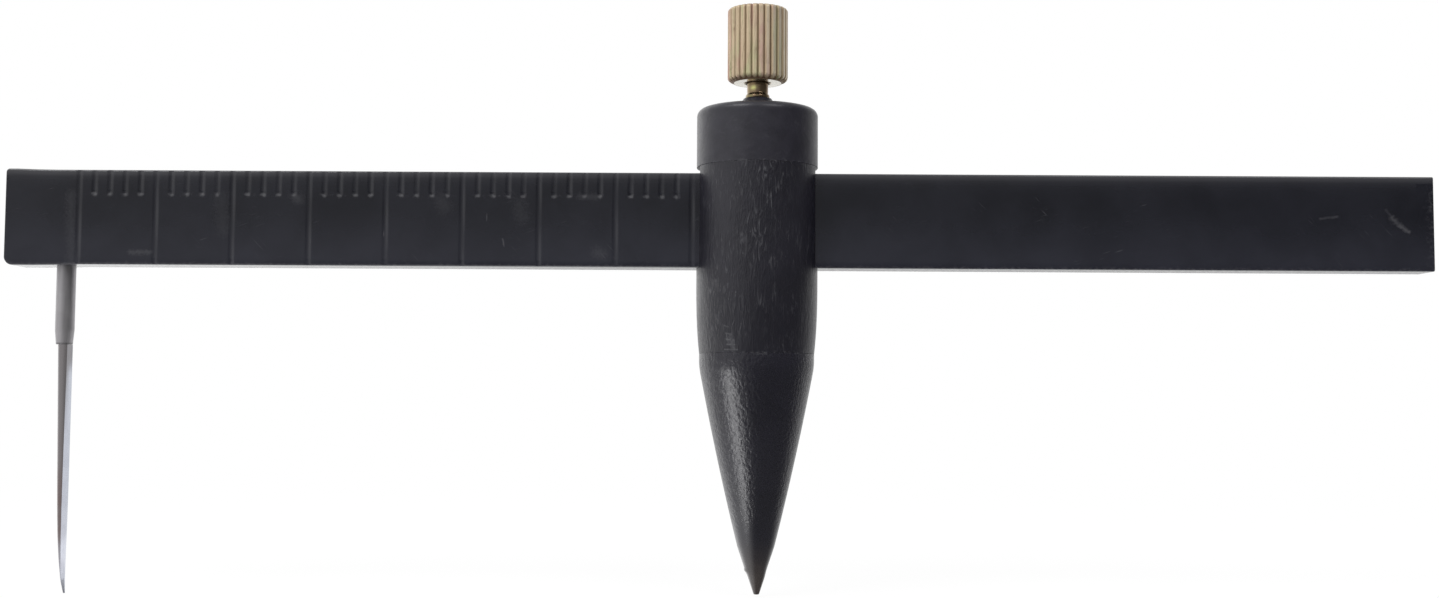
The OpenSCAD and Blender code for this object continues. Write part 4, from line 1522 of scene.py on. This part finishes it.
@dataclass
class Studio:
    """Camera, lamps, surroundings and floor."""

    eye: Place = (-4.9, -210.1, 25.3)
    pitch: float = 3.585
    roll: float = 0.314
    focal_px: float = 1600.0
    frame_px: float = 1439.0
    sensor: float = 36.0
    clip: Span = (0.005, 50.0)
    lamp_size: Span = (300.0, 300.0)
    lamp_aim: Place = (0.0, 0.0, 45.0)
    key_place: Place = (-350.0, -380.0, 620.0)
    key_power: float = 2.0
    fill_place: Place = (260.0, -420.0, 520.0)
    fill_power: float = 1.1
    strip_place: Place = (-13.5, -12.2, 13.5)
    strip_size: Span = (5.6, 26.0)
    strip_turn: float = 55.8
    strip_lean: float = 5.0
    strip_power: float = 0.0029
    dim: float = 0.16
    half: float = 0.48
    lean: float = 2.5
    lean_top: float = 0.2
    left_span: Span = (-1.0, -0.62)
    near_span: Span = (-0.5, 0.25)
    behind: float = 0.8
    behind_span: Span = (0.0, 0.9)
    above: float = 0.7
    above_span: Span = (0.45, 0.9)
    floor_z: float = -0.35
    floor_size: float = 6000.0
    floor_colour: Colour = (0.98, 0.98, 0.98)
    floor_left: float = 1.3
    floor_left_span: Span = (-0.95, -0.1)
    floor_near: tuple[float, ...] = (10.0 * MM, 85.0 * MM, 1.6, 0.75)
    floor_behind_span: Span = (-0.1, 0.8)
    shadow: float = 0.07
    shadow_span: Span = (120.0 * MM, 350.0 * MM)

    def build_camera(self) -> None:
        """Sets the camera at the photograph's place, looking along +Y and a little up."""
        lens = bpy.data.cameras.new("photo_lens")
        lens.sensor_width, lens.lens = self.sensor, self.sensor * self.focal_px / self.frame_px
        lens.clip_start, lens.clip_end = self.clip
        camera = stand("photo_camera", lens)
        camera.matrix_world = shift(self.eye) @ rotation(90.0 + self.pitch, "X") @ rotation(self.roll, "Z")
        bpy.context.scene.camera = camera

    @staticmethod
    def build_lamp(name: str, size: Span, power: float, stance: Matrix) -> bpy.types.Object:
        """Sets a flat lamp that the camera doesn't see.

        Args:
            name: The lamp's name.
            size: Length of its sides.
            power: Its power in watts.
            stance: Its place and turn.

        Returns:
            The lamp.
        """
        light = bpy.data.lights.new(name, "AREA")
        light.shape, light.energy = "RECTANGLE", power
        light.size, light.size_y = (MM * length for length in size)
        lamp = stand(name, light)
        lamp.matrix_world = stance
        lamp.visible_camera = False
        return lamp

    def build_soft_box(self, name: str, place: Place, power: float) -> None:
        """Sets a square lamp at a place, which faces the middle of the tool."""
        facing = (Vector(self.lamp_aim) - Vector(place)).to_track_quat("-Z", "Y").to_matrix().to_4x4()
        self.build_lamp(name, self.lamp_size, power, shift(place) @ facing)

    def build_strip(self, nose: bpy.types.Object) -> None:
        """Sets a narrow upright lamp on the left in front, which only the nose's gloss sees.

        Args:
            nose: The piece that it draws a streak on.
        """
        stance = shift(self.strip_place) @ rotation(-self.strip_turn, "Z")
        stance = stance @ rotation(90.0, "X") @ rotation(self.strip_lean, "Z")
        lamp = self.build_lamp("nose_strip", self.strip_size, self.strip_power, stance)
        lamp.visible_diffuse = False
        receivers = bpy.data.collections.new("streaked_nose")
        receivers.objects.link(nose)
        lamp.light_linking.receiver_collection = receivers

    def build_world(self) -> None:
        """Makes the surroundings: white behind and on the left, dim on the right, white to the camera.

        The white on the left ends in a slanted edge, which reaches further in front higher up.
        """
        world = bpy.data.worlds.new("white_studio")
        bpy.context.scene.world = world
        board = Board.fresh(world)
        x, y, z = board.split(board.add("ShaderNodeTexCoord").outputs["Generated"])
        across = board.math("SUBTRACT", x, board.times(board.math("MINIMUM", z, self.lean_top), self.lean))
        near = board.spread(across, *self.near_span, self.half, self.dim)
        left = board.math("ADD", near, board.spread(across, *self.left_span, 1.0 - self.half, 0.0))
        behind = board.spread(y, *self.behind_span, 0.0, self.behind)
        above = board.spread(z, *self.above_span, 0.0, self.above)
        level = board.math("MAXIMUM", board.math("ADD", left, behind), above)
        camera = board.add("ShaderNodeLightPath").outputs["Is Camera Ray"]
        level = board.math("MULTIPLY_ADD", camera, board.math("SUBTRACT", 1.0, level), level)
        ground = board.add("ShaderNodeBackground", {"Color": opaque(WHITE), "Strength": level})
        board.add("ShaderNodeOutputWorld", {"Surface": ground.outputs[0]})

    def floor_material(self) -> bpy.types.Material:
        """Builds the floor's white: to the camera plain with a faint shadow, matte to other light.

        In reflections it is white behind and on the left and dim elsewhere. The shadow fades out
        away from the tool.

        Returns:
            The material.
        """
        material = bpy.data.materials.new("floor_white")
        board = Board.fresh(material)
        matte = board.add("ShaderNodeBsdfDiffuse", {"Color": opaque(self.floor_colour)})
        path = board.add("ShaderNodeLightPath").outputs
        mirrored = board.math("MAXIMUM", path["Is Glossy Ray"], path["Is Transmission Ray"])
        place = board.place()
        away = board.vector("LENGTH", place).outputs["Value"]
        x, y, _ = board.split(board.vector("NORMALIZE", place).outputs["Vector"])
        left = board.spread(x, *self.floor_left_span, self.floor_left, self.dim)
        left = board.times(left, board.spread(away, *self.floor_near))
        level = board.math("ADD", left, board.spread(y, *self.floor_behind_span, 0.0, self.behind))
        level = board.math("MULTIPLY_ADD", mirrored, board.math("SUBTRACT", level, 1.0), 1.0)
        glow = board.add("ShaderNodeEmission", {"Color": opaque(WHITE), "Strength": level})
        lit = board.spread(away, *self.shadow_span, 1.0 - self.shadow, 1.0)
        share = board.math("MAXIMUM", board.times(path["Is Camera Ray"], lit), mirrored)
        mixed = board.add("ShaderNodeMixShader", {0: share, 1: matte.outputs[0], 2: glow.outputs[0]})
        board.add("ShaderNodeOutputMaterial", {"Surface": mixed.outputs[0]})
        return material

    def build_floor(self) -> None:
        """Lays a white floor at the tips, a flat square."""
        side = np.array([-0.5, 0.5]) * self.floor_size
        corners = lattice(side, side[:, None], self.floor_z).reshape(-1, 3) * MM
        mesh = bpy.data.meshes.new("floor_white")
        mesh.from_pydata(corners.tolist(), [], [[0, 1, 3, 2]])
        mesh.materials.append(self.floor_material())
        stand("floor_white", mesh)

    def build(self) -> None:
        """Sets up the studio, apart from the strip lamp, which needs the nose."""
        bpy.context.scene.view_settings.view_transform = "Standard"
        self.build_camera()
        self.build_world()
        self.build_floor()
        self.build_soft_box("key_above", self.key_place, self.key_power)
        self.build_soft_box("fill_above", self.fill_place, self.fill_power)


def main() -> None:
    """Builds the pieces in order."""
    logging.basicConfig(level=logging.INFO, format="%(name)s: %(message)s")
    studio = Studio()
    studio.build()
    Beam().build()
    blade = Blade()
    blade.build_sleeve()
    blade.build_blade()
    post = Post()
    studio.build_strip(post.build_nose())
    post.build_barrel()
    post.build_cap()
    post.dress_insert()
    screw = ClampScrew()
    screw.build_stud()
    screw.build_knob()
    bpy.context.view_layer.update()


if __name__ == "__main__":
    main()
